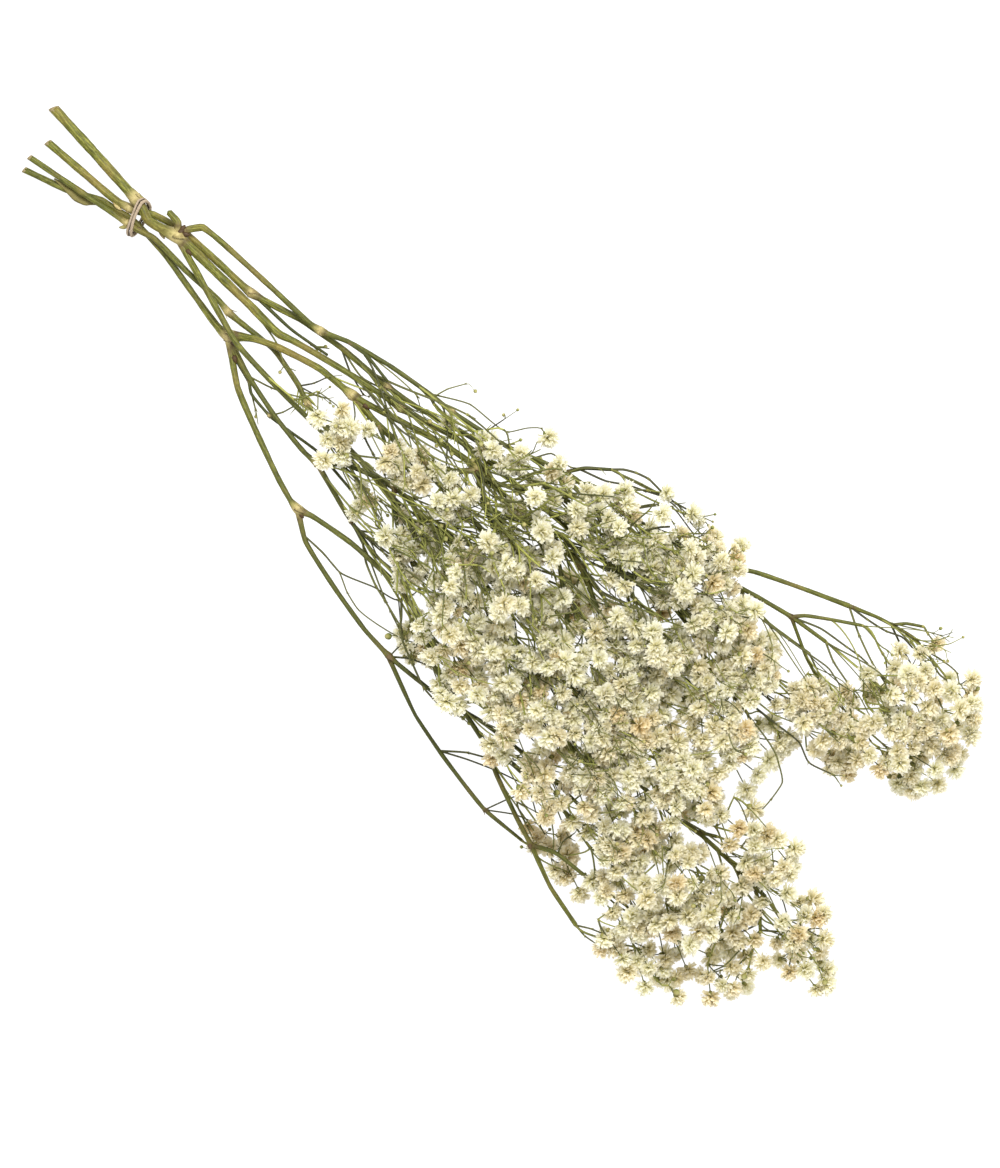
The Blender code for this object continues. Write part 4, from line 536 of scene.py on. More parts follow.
def makePiece(name, pile, finishes, node=None):
    points = np.concatenate(pile.points) * mm
    points[:, 2] = np.maximum(points[:, 2], 0.0)
    corners = np.concatenate([block.ravel() for block in pile.faces])
    sizes = np.concatenate([np.full(len(block), block.shape[1]) for block in pile.faces])
    kinds = np.concatenate([np.full(len(block), finish) for block, finish in zip(pile.faces, pile.finish)])
    mesh = bpy.data.meshes.new(name)
    mesh.vertices.add(len(points))
    mesh.vertices.foreach_set("co", points.astype(np.float32).ravel())
    mesh.loops.add(len(corners))
    mesh.loops.foreach_set("vertex_index", corners.astype(np.int32))
    mesh.polygons.add(len(sizes))
    mesh.polygons.foreach_set("loop_start", np.concatenate([[0], np.cumsum(sizes)[:-1]]).astype(np.int32))
    mesh.polygons.foreach_set("material_index", kinds.astype(np.int32))
    mesh.polygons.foreach_set("use_smooth", np.ones(len(sizes), bool))
    mesh.update(calc_edges=True)
    tint = mesh.attributes.new("tint", "FLOAT_COLOR", "POINT")
    tint.data.foreach_set("color", np.concatenate(pile.tints).astype(np.float32).ravel())
    grain = mesh.attributes.new("grain", "FLOAT_VECTOR", "POINT")
    grain.data.foreach_set("vector", np.concatenate(pile.grains).astype(np.float32).ravel())
    mesh.validate()
    piece = bpy.data.objects.new(name, mesh)
    bpy.context.scene.collection.objects.link(piece)
    for finish in finishes:
        mesh.materials.append(finish)
    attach(piece, "root")
    if node:
        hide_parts(node)
    return piece


def smoothPath(points, radii, step, slack=1.0):
    # curve through the points, with the radius eased between them; little slack keeps the stretches straight
    points = np.array(points, float)
    radii = np.array(radii, float)
    gaps = np.linalg.norm(np.diff(points, axis=0), axis=1)
    slopes = np.diff(points, axis=0) / gaps[:, None]
    tangents = np.empty_like(points)
    tangents[0] = slopes[0]
    tangents[-1] = slopes[-1]
    for i in range(1, len(points) - 1):
        tangents[i] = slack * (slopes[i - 1] * gaps[i] + slopes[i] * gaps[i - 1]) / (gaps[i] + gaps[i - 1])
    path = []
    thick = []
    along = []
    travelled = 0.0
    for i, gap in enumerate(gaps):
        count = max(1, int(round(gap / step)))
        last = i == len(gaps) - 1
        t = (np.arange(count + 1) if last else np.arange(count)) / count
        ease = t * t * (3 - 2 * t)
        a = 2 * t ** 3 - 3 * t ** 2 + 1
        b = t ** 3 - 2 * t ** 2 + t
        c = t ** 3 - t ** 2
        path.append(a[:, None] * points[i] + (b * gap)[:, None] * tangents[i]
                    + (1 - a)[:, None] * points[i + 1] + (c * gap)[:, None] * tangents[i + 1])
        thick.append(radii[i] + (radii[i + 1] - radii[i]) * ease)
        along.append(travelled + t * gap)
        travelled += gap
    return np.concatenate(path), np.concatenate(thick), np.concatenate(along)


def carriedFrames(path):
    # axis and two side directions at each point, carried along without twist
    axes = np.gradient(path, axis=0)
    axes /= np.maximum(np.linalg.norm(axes, axis=1), 1e-9)[:, None]
    helper = np.array([0.0, 0.0, 1.0]) if abs(axes[0][2]) < 0.9 else np.array([1.0, 0.0, 0.0])
    side = np.cross(helper, axes[0])
    sides = np.empty_like(path)
    for i, axis in enumerate(axes):
        side = side - axis * float(side @ axis)
        side = side / max(np.linalg.norm(side), 1e-9)
        sides[i] = side
    return axes, sides, np.cross(axes, sides)


# section of a leaf or scale, and the half width from which it has its full thickness
bladeLook = {"outline": [(1.0, 0.0), (0.5, 0.5), (-0.5, 0.5), (-1.0, 0.0), (-0.5, -0.5), (0.5, -0.5)],
             "fullFrom": 0.3}


def ringQuads(rows, count):
    # point numbers of a stack of rings, and the four-sided faces between neighbouring rings
    index = np.arange(rows * count).reshape(rows, count)
    after = np.roll(index, -1, 1)
    return index, np.stack([index[:-1], after[:-1], after[1:], index[1:]], -1).reshape(-1, 4)


def sweep(pile, path, radii, count, finish, tint, along=None, ribs=0.0, ribCount=5):
    # round rod on a path, with domed ends
    path = np.asarray(path, float)
    radii = np.asarray(radii, float)
    axes, sides, others = carriedFrames(path)
    angle = 2 * math.pi * np.arange(count) / count
    shape = 1.0 + ribs * np.cos(angle * ribCount)
    ring = (sides[:, None, :] * np.cos(angle)[None, :, None]
            + others[:, None, :] * np.sin(angle)[None, :, None])
    points = path[:, None, :] + ring * (radii[:, None] * shape[None, :])[:, :, None]
    rows = len(path)
    index, quads = ringQuads(rows, count)
    top = rows * count
    dome = 0.6
    tips = np.array([path[0] - axes[0] * radii[0] * dome, path[-1] + axes[-1] * radii[-1] * dome])
    fan = [(top, index[0][(k + 1) % count], index[0][k]) for k in range(count)]
    fan += [(top + 1, index[-1][k], index[-1][(k + 1) % count]) for k in range(count)]
    tint = np.asarray(tint, float)
    rowTint = np.broadcast_to(tint if tint.ndim == 2 else tint[None, :], (rows, 4))
    allTint = np.concatenate([np.repeat(rowTint, count, axis=0), rowTint[:1], rowTint[-1:]])
    if along is None:
        along = np.concatenate([[0], np.cumsum(np.linalg.norm(np.diff(path, axis=0), axis=1))])
    streak = np.repeat(along, count) * 0.12 + rowTint[0, 2] * 40
    grain = np.stack([np.tile(np.cos(angle), rows) * 2, np.tile(np.sin(angle), rows) * 2, streak], -1)
    grain = np.concatenate([grain, grain[:1], grain[-1:]])
    pile.add(np.concatenate([points.reshape(-1, 3), tips]), [quads, np.array(fan)], finish, allTint, grain)


def blade(pile, path, widths, normal, thick, finish, tint):
    # thin leaf or scale with a closed, lens-shaped section
    path = np.asarray(path, float)
    widths = np.asarray(widths, float)
    axes = np.gradient(path, axis=0)
    axes /= np.maximum(np.linalg.norm(axes, axis=1), 1e-9)[:, None]
    across = np.cross(np.asarray(normal, float), axes)
    across /= np.maximum(np.linalg.norm(across, axis=1), 1e-9)[:, None]
    up = np.cross(axes, across)
    fullness = np.minimum(1, widths / bladeLook["fullFrom"])[:, None]
    points = np.stack([path + across * (widths * u)[:, None] + up * (thick * v) * fullness
                       for u, v in bladeLook["outline"]], 1)
    index, quads = ringQuads(len(path), len(bladeLook["outline"]))
    pile.add(points.reshape(-1, 3), [quads, np.array([index[0][::-1], index[-1]])], finish, tint)


def bend(start, startWay, end, endWay, count, pull=0.35):
    # curve from one point to another that leaves and arrives along given ways
    reach = float(np.linalg.norm(end - start)) * pull
    t = np.linspace(0, 1, count)[:, None]
    a = start + startWay * reach
    b = end - endWay * reach
    return start * (1 - t) ** 3 + 3 * a * t * (1 - t) ** 2 + 3 * b * t * t * (1 - t) + end * t ** 3


def turnedFlow(flow, degrees):
    # a way in the plane, turned by some degrees
    c, s = math.cos(math.radians(degrees)), math.sin(math.radians(degrees))
    return np.array([flow[0] * c - flow[1] * s, flow[0] * s + flow[1] * c])


class Finish:
    # one material and the few node moves that every finish needs
    def __init__(self, name, roughness, shine=0.2):
        self.material = bpy.data.materials.new(name)
        self.material.use_nodes = True
        self.tree = self.material.node_tree
        self.shader = self.tree.nodes["Principled BSDF"]
        self.shader.inputs["Roughness"].default_value = roughness
        self.shader.inputs["Specular IOR Level"].default_value = shine

    def node(self, kind, **settings):
        made = self.tree.nodes.new(kind)
        for key, value in settings.items():
            setattr(made, key, value)
        return made

    def link(self, a, b):
        self.tree.links.new(a, b)

    def noise(self, vector, scale, detail=3.0, rough=0.55):
        made = self.node("ShaderNodeTexNoise")
        made.inputs["Scale"].default_value = scale
        made.inputs["Detail"].default_value = detail
        made.inputs["Roughness"].default_value = rough
        self.link(vector, made.inputs["Vector"])
        return made.outputs["Fac"]

    def ramp(self, value, stops):
        made = self.node("ShaderNodeValToRGB")
        band = made.color_ramp
        while len(band.elements) < len(stops):
            band.elements.new(0.5)
        for element, (place, colour) in zip(band.elements, stops):
            element.position = place
            element.color = (*colour, 1.0)
        self.link(value, made.inputs["Fac"])
        return made.outputs["Color"]

    def mix(self, share, a, b, blend="MIX"):
        made = self.node("ShaderNodeMix", data_type="RGBA", blend_type=blend)
        if isinstance(share, float):
            made.inputs["Factor"].default_value = share
        else:
            self.link(share, made.inputs["Factor"])
        self.link(a, made.inputs["A"])
        if isinstance(b, tuple):
            made.inputs["B"].default_value = (*b, 1.0)
        else:
            self.link(b, made.inputs["B"])
        return made.outputs["Result"]

    def letThrough(self, colour, share):
        # thin petals and leaves pass some of the light that falls on their other side
        through = self.node("ShaderNodeBsdfTranslucent")
        blend = self.node("ShaderNodeMixShader")
        blend.inputs["Fac"].default_value = share
        self.link(colour, through.inputs["Color"])
        self.link(self.shader.outputs["BSDF"], blend.inputs[1])
        self.link(through.outputs["BSDF"], blend.inputs[2])
        self.link(blend.outputs["Shader"], self.tree.nodes["Material Output"].inputs["Surface"])

    def spread(self, value, low, high, toLow, toHigh):
        made = self.node("ShaderNodeMapRange")
        for key, number in zip(("From Min", "From Max", "To Min", "To Max"), (low, high, toLow, toHigh)):
            made.inputs[key].default_value = number
        self.link(value, made.inputs["Value"])
        return made.outputs["Result"]

    def bumps(self, height, strength, depth):
        made = self.node("ShaderNodeBump")
        made.inputs["Strength"].default_value = strength
        made.inputs["Distance"].default_value = depth
        self.link(height, made.inputs["Height"])
        self.link(made.outputs["Normal"], self.shader.inputs["Normal"])

    def hints(self):
        tint = self.node("ShaderNodeAttribute", attribute_name="tint")
        parts = self.node("ShaderNodeSeparateColor")
        self.link(tint.outputs["Color"], parts.inputs["Color"])
        return parts.outputs["Red"], parts.outputs["Green"], parts.outputs["Blue"]

    def place(self):
        return self.node("ShaderNodeTexCoord").outputs["Object"]

    def grain(self):
        return self.node("ShaderNodeAttribute", attribute_name="grain").outputs["Vector"]

    def relief(self, vector, scale, strength, depth, detail=4.0, rough=0.55):
        self.bumps(self.noise(vector, scale, detail, rough), strength, depth)

    def cover(self, colour, wear, rough):
        # colour of the surface, and a roughness that follows its wear
        self.link(colour, self.shader.inputs["Base Color"])
        self.link(self.spread(wear, 0.3, 0.7, *rough), self.shader.inputs["Roughness"])


petalLook = {
    "fresh": [(0.0, (0.60, 0.57, 0.28)), (0.4, (0.84, 0.82, 0.58)),
              (0.75, (0.90, 0.885, 0.75)), (1.0, (0.905, 0.895, 0.82))],
    "aged": [(0.0, (0.46, 0.33, 0.12)), (0.4, (0.74, 0.60, 0.31)),
             (0.75, (0.85, 0.735, 0.49)), (1.0, (0.88, 0.79, 0.60))],
    "mottle": [(0.3, (0.88, 0.87, 0.78)), (0.7, (1.0, 1.0, 1.0))], "mottleScale": 620.0,
    "crinkleScale": 2100.0, "crinkle": (0.55, 0.0002), "rough": (0.55, 0.85), "through": 0.55,
}


def petalFinish():
    look = Finish("driedPetal", 0.7)
    age, along, _ = look.hints()
    colour = look.mix(age, look.ramp(along, petalLook["fresh"]), look.ramp(along, petalLook["aged"]))
    mottle = look.ramp(look.noise(look.place(), petalLook["mottleScale"]), petalLook["mottle"])
    colour = look.mix(1.0, colour, mottle, "MULTIPLY")
    crinkle = look.noise(look.place(), petalLook["crinkleScale"], 4.0)
    look.cover(colour, crinkle, petalLook["rough"])
    look.bumps(crinkle, *petalLook["crinkle"])
    look.letThrough(colour, petalLook["through"])
    return look.material


stemLook = {
    "skin": [(0.34, (0.040, 0.041, 0.004)), (0.5, (0.089, 0.093, 0.011)), (0.66, (0.210, 0.208, 0.042))],
    "slim": (0.027, 0.034, 0.005), "joint": (0.38, 0.31, 0.135), "axil": (0.056, 0.031, 0.012),
    "dry": (0.27, 0.18, 0.055), "dryScale": 55.0, "dryShare": (0.52, 0.72, 0.0, 0.4),
    "speck": [(0.32, (0.72, 0.70, 0.62)), (0.55, (1.0, 1.0, 1.0))], "speckScale": 900.0,
    "streakScale": 1.6, "fibre": (3.2, 0.45, 0.00025, 6.0, 0.65), "rough": (0.38, 0.62),
}


def stemFinish():
    look = Finish("stemSkin", 0.5)
    joint, axil, slim = look.hints()
    streak = look.noise(look.grain(), stemLook["streakScale"], 5.0, 0.6)
    colour = look.ramp(streak, stemLook["skin"])
    patch = look.noise(look.place(), stemLook["dryScale"], 2.0)
    colour = look.mix(look.spread(patch, *stemLook["dryShare"]), colour, stemLook["dry"])
    colour = look.mix(slim, colour, stemLook["slim"])
    colour = look.mix(joint, colour, stemLook["joint"])
    colour = look.mix(axil, colour, stemLook["axil"])
    speck = look.ramp(look.noise(look.place(), stemLook["speckScale"], 4.0), stemLook["speck"])
    look.cover(look.mix(1.0, colour, speck, "MULTIPLY"), streak, stemLook["rough"])
    look.relief(look.grain(), *stemLook["fibre"])
    return look.material


twigLook = {
    "skin": [(0.25, (0.038, 0.052, 0.007)), (0.55, (0.105, 0.125, 0.018)), (0.8, (0.220, 0.230, 0.050))],
    "skinScale": 140.0, "dark": (0.036, 0.036, 0.016), "tan": (0.26, 0.21, 0.070), "pale": (0.37, 0.385, 0.09),
    "paleMost": 0.75, "streakScale": 1.8, "tanShare": (0.35, 0.7, 0.0, 0.35),
    "fibre": (4.0, 0.4, 0.00015), "rough": (0.5, 0.75),
}


def twigFinish():
    look = Finish("twigSkin", 0.6)
    tan, dark, tone = look.hints()
    streak = look.noise(look.grain(), twigLook["streakScale"], 4.0, 0.6)
    colour = look.ramp(look.noise(look.place(), twigLook["skinScale"], 3.0), twigLook["skin"])
    colour = look.mix(look.spread(tone, 0.0, 1.0, 0.0, twigLook["paleMost"]), colour, twigLook["pale"])
    colour = look.mix(look.spread(streak, *twigLook["tanShare"]), colour, twigLook["tan"])
    colour = look.mix(dark, colour, twigLook["dark"])
    colour = look.mix(tan, colour, twigLook["tan"])
    look.cover(colour, streak, twigLook["rough"])
    look.relief(look.grain(), *twigLook["fibre"])
    return look.material


cupLook = {
    "cup": [(0.0, (0.07, 0.085, 0.015)), (0.5, (0.13, 0.145, 0.03)), (1.0, (0.27, 0.26, 0.10))],
    "dry": (0.36, 0.27, 0.11), "dryScale": 500.0, "dryShare": (0.4, 0.7, 0.0, 0.5),
    "fineScale": 1800.0, "fine": (0.4, 0.00015), "rough": (0.5, 0.75),
}


def cupFinish():
    look = Finish("cupGreen", 0.6)
    _, along, _ = look.hints()
    colour = look.ramp(along, cupLook["cup"])
    patch = look.noise(look.place(), cupLook["dryScale"])
    colour = look.mix(look.spread(patch, *cupLook["dryShare"]), colour, cupLook["dry"])
    fine = look.noise(look.place(), cupLook["fineScale"], 4.0)
    look.cover(colour, fine, cupLook["rough"])
    look.bumps(fine, *cupLook["fine"])
    return look.material


scaleLook = {
    "paper": [(0.34, (0.20, 0.145, 0.055)), (0.5, (0.33, 0.265, 0.11)), (0.68, (0.46, 0.385, 0.19))],
    "paperScale": 420.0, "green": (0.11, 0.105, 0.02), "brown": (0.080, 0.052, 0.024),
    "fine": (1500.0, 0.5, 0.0002, 5.0), "rough": (0.55, 0.8),
}


def scaleFinish():
    # papery scales at the joints and the leaf scrap
    look = Finish("dryScale", 0.7)
    green, brown, _ = look.hints()
    mottle = look.noise(look.place(), scaleLook["paperScale"], 5.0, 0.65)
    colour = look.ramp(mottle, scaleLook["paper"])
    colour = look.mix(green, colour, scaleLook["green"])
    colour = look.mix(brown, colour, scaleLook["brown"])
    look.cover(colour, mottle, scaleLook["rough"])
    look.relief(look.place(), *scaleLook["fine"])
    return look.material


cutLook = {
    "pith": [(0.3, (0.34, 0.25, 0.13)), (0.7, (0.58, 0.48, 0.30))], "rind": (0.14, 0.11, 0.05),
    "fibreScale": 2200.0, "fibre": (0.7, 0.0003), "rough": (0.75, 0.95),
}


def cutFinish():
    # pale pith and darker rind of the cut ends
    look = Finish("cutPith", 0.85)
    rim, _, _ = look.hints()
    fibre = look.noise(look.place(), cutLook["fibreScale"], 4.0)
    colour = look.mix(rim, look.ramp(fibre, cutLook["pith"]), cutLook["rind"])
    look.cover(colour, fibre, cutLook["rough"])
    look.bumps(fibre, *cutLook["fibre"])
    return look.material


# a joint or fork of a branch is pale as far as darkFrom, and dark farther out
stemShape = {
    "step": 1.6, "slack": 0.45, "rib": 0.035, "ribCount": 5, "sides": ((1.9, 16), (1.2, 12), (0, 9)),
    "fuller": 0.16, "swollen": (1.12, 1.3), "swelling": 1.7, "knuckle": 1.5, "darkFrom": 0.0,
    # slow waves of the thickness: how much, how often, turn
    "waves": ((0.035, 0.35, 1), (0.02, 1.1, 2)),
    # how strongly slim branches take their own green, at two places along x
    "slimX": (60, 140), "slimShare": (1.0, 0.35),
}


def jointPlaces(rows):
    # swollen rows of a branch: how far along, which row, and how thick the branch is beside it
    overBoth, overOne = stemShape["swollen"]
    lengths = [0.0]
    for p, q in zip(rows, rows[1:]):
        lengths.append(lengths[-1] + math.dist(p[:3], q[:3]))
    found = []
    for i in range(1, len(rows) - 1):
        before, here, after = rows[i - 1][3], rows[i][3], rows[i + 1][3]
        if here > overBoth * max(before, after) or here > overOne * min(before, after):
            found.append((lengths[i], i, min(here, max(before, after))))
    return found


# two scales of a joint: length and half width in radii of the branch, and how far they stand off
jointScale = {"length": (1.1, 2.0), "spread": (0.15, 0.5), "half": 0.75,
              "taper": [1.0, 1.05, 0.9, 0.62, 0.3, 0.05]}


def jointScales(pile, place, way, radius, rng, brown):
    # two dry pointed scales that clasp a joint
    turn = rng.uniform(0, math.pi)
    helper = unit(np.cross(way, np.array([0.0, 0.0, 1.0])))
    other = np.cross(way, helper)
    taper = np.array(jointScale["taper"])
    t = np.linspace(0, 1, len(taper))[:, None]
    for k in range(2):
        out = helper * math.cos(turn + k * math.pi) + other * math.sin(turn + k * math.pi)
        length = radius * rng.uniform(*jointScale["length"]) + 0.6
        spread = rng.uniform(*jointScale["spread"])
        base = place - way * radius * 0.5 + out * radius * 0.92
        path = base + way * t * length + out * (t ** 2) * length * spread
        green = rng.uniform(0, 0.3)
        tint = (green, min(1, brown + rng.uniform(0, 0.4)), rng.random(), 1)
        blade(pile, path, radius * jointScale["half"] * taper, out, 0.28, 1, tint)


# cut face of a stem, in its radii: rings (how far out, how high, how dark toward the rind colour; the ring at
# the bottom of the little hollow is darker) and slant
cutFace = {"rings": [(1.0, 0.0, 0.8), (0.93, 0.12, 1.0), (0.72, 0.16, 0.2), (0.35, 0.02, 0.0),
                     (0.12, -0.25, 0.5)],
           "slant": (0.2, 0.5)}


def cutEnd(pile, row, nextRow, rng, count):
    # cut face at the start of a stem: dark rim, pale pith, a little hollow that is darker at its bottom
    centre, radius = np.array(row[:3], float), row[3]
    way = unit(centre - np.array(nextRow[:3], float))
    side, other = sideWays(way)
    angle = 2 * math.pi * np.arange(count) / count
    circle = side * np.cos(angle)[:, None] + other * np.sin(angle)[:, None]
    slant = rng.uniform(*cutFace["slant"])
    rings = [centre + radius * circle - way * radius * 0.4]
    rims = [0.8]
    for share, rise, rim in cutFace["rings"]:
        lean = slant * np.cos(angle) * share
        rings.append(centre + radius * share * circle + way * (radius * (rise + lean + 0.3))[:, None])
        rims.append(rim)
    index, quads = ringQuads(len(rings), count)
    tint = [(rim, 0, 0, 1) for rim in rims for _ in range(count)]
    pile.add(np.concatenate(rings), [quads, index[-1:]], 2, tint)


def sideWays(way):
    # two ways square to a way
    helper = np.array([0.0, 0.0, 1.0]) if abs(way[2]) < 0.9 else np.array([1.0, 0.0, 0.0])
    side = unit(np.cross(helper, way))
    return side, np.cross(way, side)


# dark wedge in a fork: how near a branch starts, longest reach in radii, least half angle, height in
# radii, and rows of how far along and how thick
crotch = {"near": 2.0, "reach": 6.0, "least": 0.1, "rise": 0.6, "sides": 9,
          "rows": [(-0.9, 0.8), (0.0, 0.75), (0.5, 0.5), (1.0, 0.2)]}


def crotches(branches):
    # forks: where a side branch leaves, the ways of both branches, and the thinner radius
    found = []
    for k, rows in enumerate(branches[1:], 1):
        start = np.array(rows[0][:3], float)
        own = unit(np.array(rows[1][:3], float) - start)
        for other in branches[:k]:
            for p, q in zip(other, other[1:]):
                if math.dist(p[:3], rows[0][:3]) < crotch["near"] and rows[0][0] < stemShape["darkFrom"]:
                    way = unit(np.array(q[:3], float) - np.array(p[:3], float))
                    found.append((start, way, own, min(p[3], rows[0][3])))
    return found


def crotchWedge(pile, start, way, own, radius):
    # dark brown bud that fills the angle of a fork
    half = math.acos(max(-1.0, min(1.0, float(way @ own)))) / 2
    if half < crotch["least"]:
        return
    reach = min(radius / math.sin(half), crotch["reach"] * radius)
    steps, thick = np.array(crotch["rows"]).T
    lifted = start + np.array([0, 0, stemShape["fuller"] + crotch["rise"] * radius])
    path = lifted + unit(way + own) * (reach + radius * steps)[:, None]
    sweep(pile, path, radius * thick, crotch["sides"], 0, (0, 1, 0, 1))


def hump(gap, wide):
    return np.exp(-(gap / wide) ** 2)


def branchTint(rows, joints, path, radii, along, first):
    # hints for the skin: pale joints, dark collars and shades, slim light shoots
    joint, axil = np.zeros(len(path)), np.zeros(len(path))
    strength, wide = 0.95, 1.3
    collar, collarWide, past = 0.8, 0.55, 1.5
    shade, shadeWide = 0.75, 1.5
    for place, i, _ in joints:
        size, gap = rows[i][3], along - place
        pale = 1.0 if rows[i][0] < stemShape["darkFrom"] else 0.1
        joint = np.maximum(joint, strength * pale * hump(gap, wide * size))
        axil = np.maximum(axil, collar * hump(gap - past * size, collarWide * size))
        axil = np.maximum(axil, shade * (1 - pale) * hump(gap, shadeWide * size))
    if not first:
        size = rows[0][3]
        pale, wide = 0.7, 2.4
        if rows[0][0] >= stemShape["darkFrom"]:
            pale = 0.1
        collar, collarWide, past = 0.75, 0.8, 1.9
        joint = np.maximum(joint, pale * hump(along, wide * size))
        axil = np.maximum(axil, collar * hump(along - past * size, collarWide * size))
    slim = (np.clip((1.5 - radii) / 0.8, 0, 0.85)
            * np.interp(path[:, 0], stemShape["slimX"], stemShape["slimShare"]))
    return np.stack([joint, axil, slim, np.ones(len(path))], -1)


def branchTube(pile, rows, rng, first):
    # one branch with its swollen joints and their scales; the first one of a stem has the cut end
    fuller = stemShape["fuller"]
    joints = [(place, i, beside + fuller) for place, i, beside in jointPlaces(rows)]
    rows = [(x, y, z + fuller, radius + fuller) for x, y, z, radius in rows]
    slender = [row[3] for row in rows]
    for _, i, beside in joints:
        slender[i] = beside
    thickest = max(row[3] for row in rows)
    count = next(sides for over, sides in stemShape["sides"] if thickest > over)
    path, radii, along = smoothPath([row[:3] for row in rows], slender, stemShape["step"], stemShape["slack"])
    for place, i, beside in joints:
        knuckle = stemShape["knuckle"] if rows[i][0] < stemShape["darkFrom"] else 1.0
        radii = radii + knuckle * (rows[i][3] - beside) * hump(along - place,
                                                               stemShape["swelling"] * rows[i][3])
    wave = rng.uniform(0, 6)
    uneven = 1
    for much, often, turn in stemShape["waves"]:
        uneven = uneven + much * np.sin(along * often + wave * turn)
    radii = radii * uneven
    tint = branchTint(rows, joints, path, radii, along, first)
    sweep(pile, path, radii, count, 0, tint, along, stemShape["rib"], stemShape["ribCount"])
    for place, i, _ in joints:
        k = int(np.argmin(np.abs(along - place)))
        way = unit(path[min(k + 1, len(path) - 1)] - path[max(k - 1, 0)])
        brown = 0.1 if rows[i][0] < stemShape["darkFrom"] else 0.8
        jointScales(pile, path[k], way, rows[i][3], rng, brown)
    if first:
        cutEnd(pile, rows[0], rows[1], rng, count)


# dry scrap of leaf on the fourth stem: rows of x, y, z and half width
leafScrap = {
    "rows": [(-227, -22.0, 3.0, 0.4), (-223, -21.6, 3.2, 0.9), (-219, -21.2, 3.3, 1.7), (-215, -20.8, 3.1, 2.3),
             (-211, -19.8, 2.9, 1.9), (-208, -18.2, 2.6, 0.7), (-206.5, -17.4, 2.5, 0.2)],
    "step": 1.2, "ripple": 0.35, "often": 1.1, "faces": (0.25, 0.35, 0.9), "thick": 0.5,
    "tint": (0.8, 0.25, 0.4, 1),
}
# loose dry scales near the tie: points, half width, tint
looseScales = {
    "stem_1": [([(-180.5, -5.8, 10.4), (-178.0, -7.2, 9.8), (-175.6, -8.0, 9.6)], 1.1, (0.0, 0.2, 0.3, 1)),
               ([(-197.0, -3.2, 8.6), (-194.8, -2.4, 9.4), (-192.6, -1.8, 9.8)], 1.0, (0.7, 0.0, 0.2, 1))],
    "stem_2": [([(-202.0, -11.4, 5.0), (-199.4, -12.2, 5.4), (-197.2, -11.8, 5.6)], 1.0, (0.0, 0.0, 0.2, 1))],
    "stem_3": [([(-190.6, -15.0, 8.6), (-191.6, -16.6, 8.4), (-192.8, -17.8, 8.0)], 0.9, (0.7, 0.0, 0.5, 1)),
               ([(-187.2, -13.0, 9.6), (-185.2, -12.4, 10.0), (-183.0, -12.6, 9.8)], 0.9, (0.0, 0.8, 0.5, 1))],
}


def looseScale(pile, points, half, tint):
    path, _, _ = smoothPath(points, [half] * len(points), 1.0)
    t = np.minimum(0.93, 0.25 + 0.7 * np.linspace(0, 1, len(path)))
    widths = half * np.maximum(0.08, np.sin(math.pi * t) ** 0.8)
    blade(pile, path, widths, (0.2, 0.3, 1.0), 0.35, 1, tint)


def drawLeafScrap(pile):
    rows = leafScrap["rows"]
    path, half, _ = smoothPath([row[:3] for row in rows], [row[3] for row in rows], leafScrap["step"])
    path[:, 2] += leafScrap["ripple"] * np.sin(np.arange(len(path)) * leafScrap["often"])
    blade(pile, path, half, leafScrap["faces"], leafScrap["thick"], 1, leafScrap["tint"])


def buildStems():
    rng = random.Random(7)
    finishes = [stemFinish(), scaleFinish(), cutFinish()]
    for name, branches in stemRows.items():
        pile = Pile()
        for k, rows in enumerate(branches):
            branchTube(pile, rows, rng, k == 0)
        for fork in crotches(branches):
            crotchWedge(pile, *fork)
        if name == "stem_4":
            drawLeafScrap(pile)
        for scale in looseScales.get(name, []):
            looseScale(pile, *scale)
        makePiece(name.replace("stem_", "stalk"), pile, finishes, name)
        print(name, "triangles", pile.triangles())


tiePath = [
    (-193.6, -4.0, 12.3), (-192.7, -7.0, 12.5), (-191.3, -10.5, 11.7), (-189.7, -13.7, 10.7),
    (-188.2, -16.3, 8.6), (-187.3, -16.9, 6.2), (-186.9, -15.2, 3.7), (-187.2, -12.0, 2.1),
    (-188.0, -8.4, 1.9), (-188.9, -5.2, 2.3), (-190.0, -2.8, 4.2), (-191.5, -1.9, 7.2), (-193.0, -2.2, 10.3),
]
tieLook = {
    "strandRadius": 0.66, "pitch": 1.38, "steps": 220, "sides": 16,
    # plies of a strand, and their turns in the whole ring
    "plies": 3, "twist": 34,
    "paper": [(0.3, (0.20, 0.145, 0.095)), (0.5, (0.31, 0.24, 0.165)), (0.72, (0.46, 0.38, 0.28))],
    # shadow is the colour of the painted shade where the two strands press together
    "paperScale": 2.4, "shadow": (0.05, 0.036, 0.024), "fibre": (6.0, 0.8, 0.0003, 6.0, 0.7),
    "rough": (0.7, 0.9),
}


def tieFinish():
    look = Finish("paperCord", 0.8)
    paintedStrandShade, _, _ = look.hints()
    paper = look.noise(look.grain(), tieLook["paperScale"], 6.0, 0.7)
    # painted shade: where the strands face each other the paper is mixed toward the shadow colour
    colour = look.mix(paintedStrandShade, look.ramp(paper, tieLook["paper"]), tieLook["shadow"])
    look.cover(colour, paper, tieLook["rough"])
    look.relief(look.grain(), *tieLook["fibre"])
    return look.material


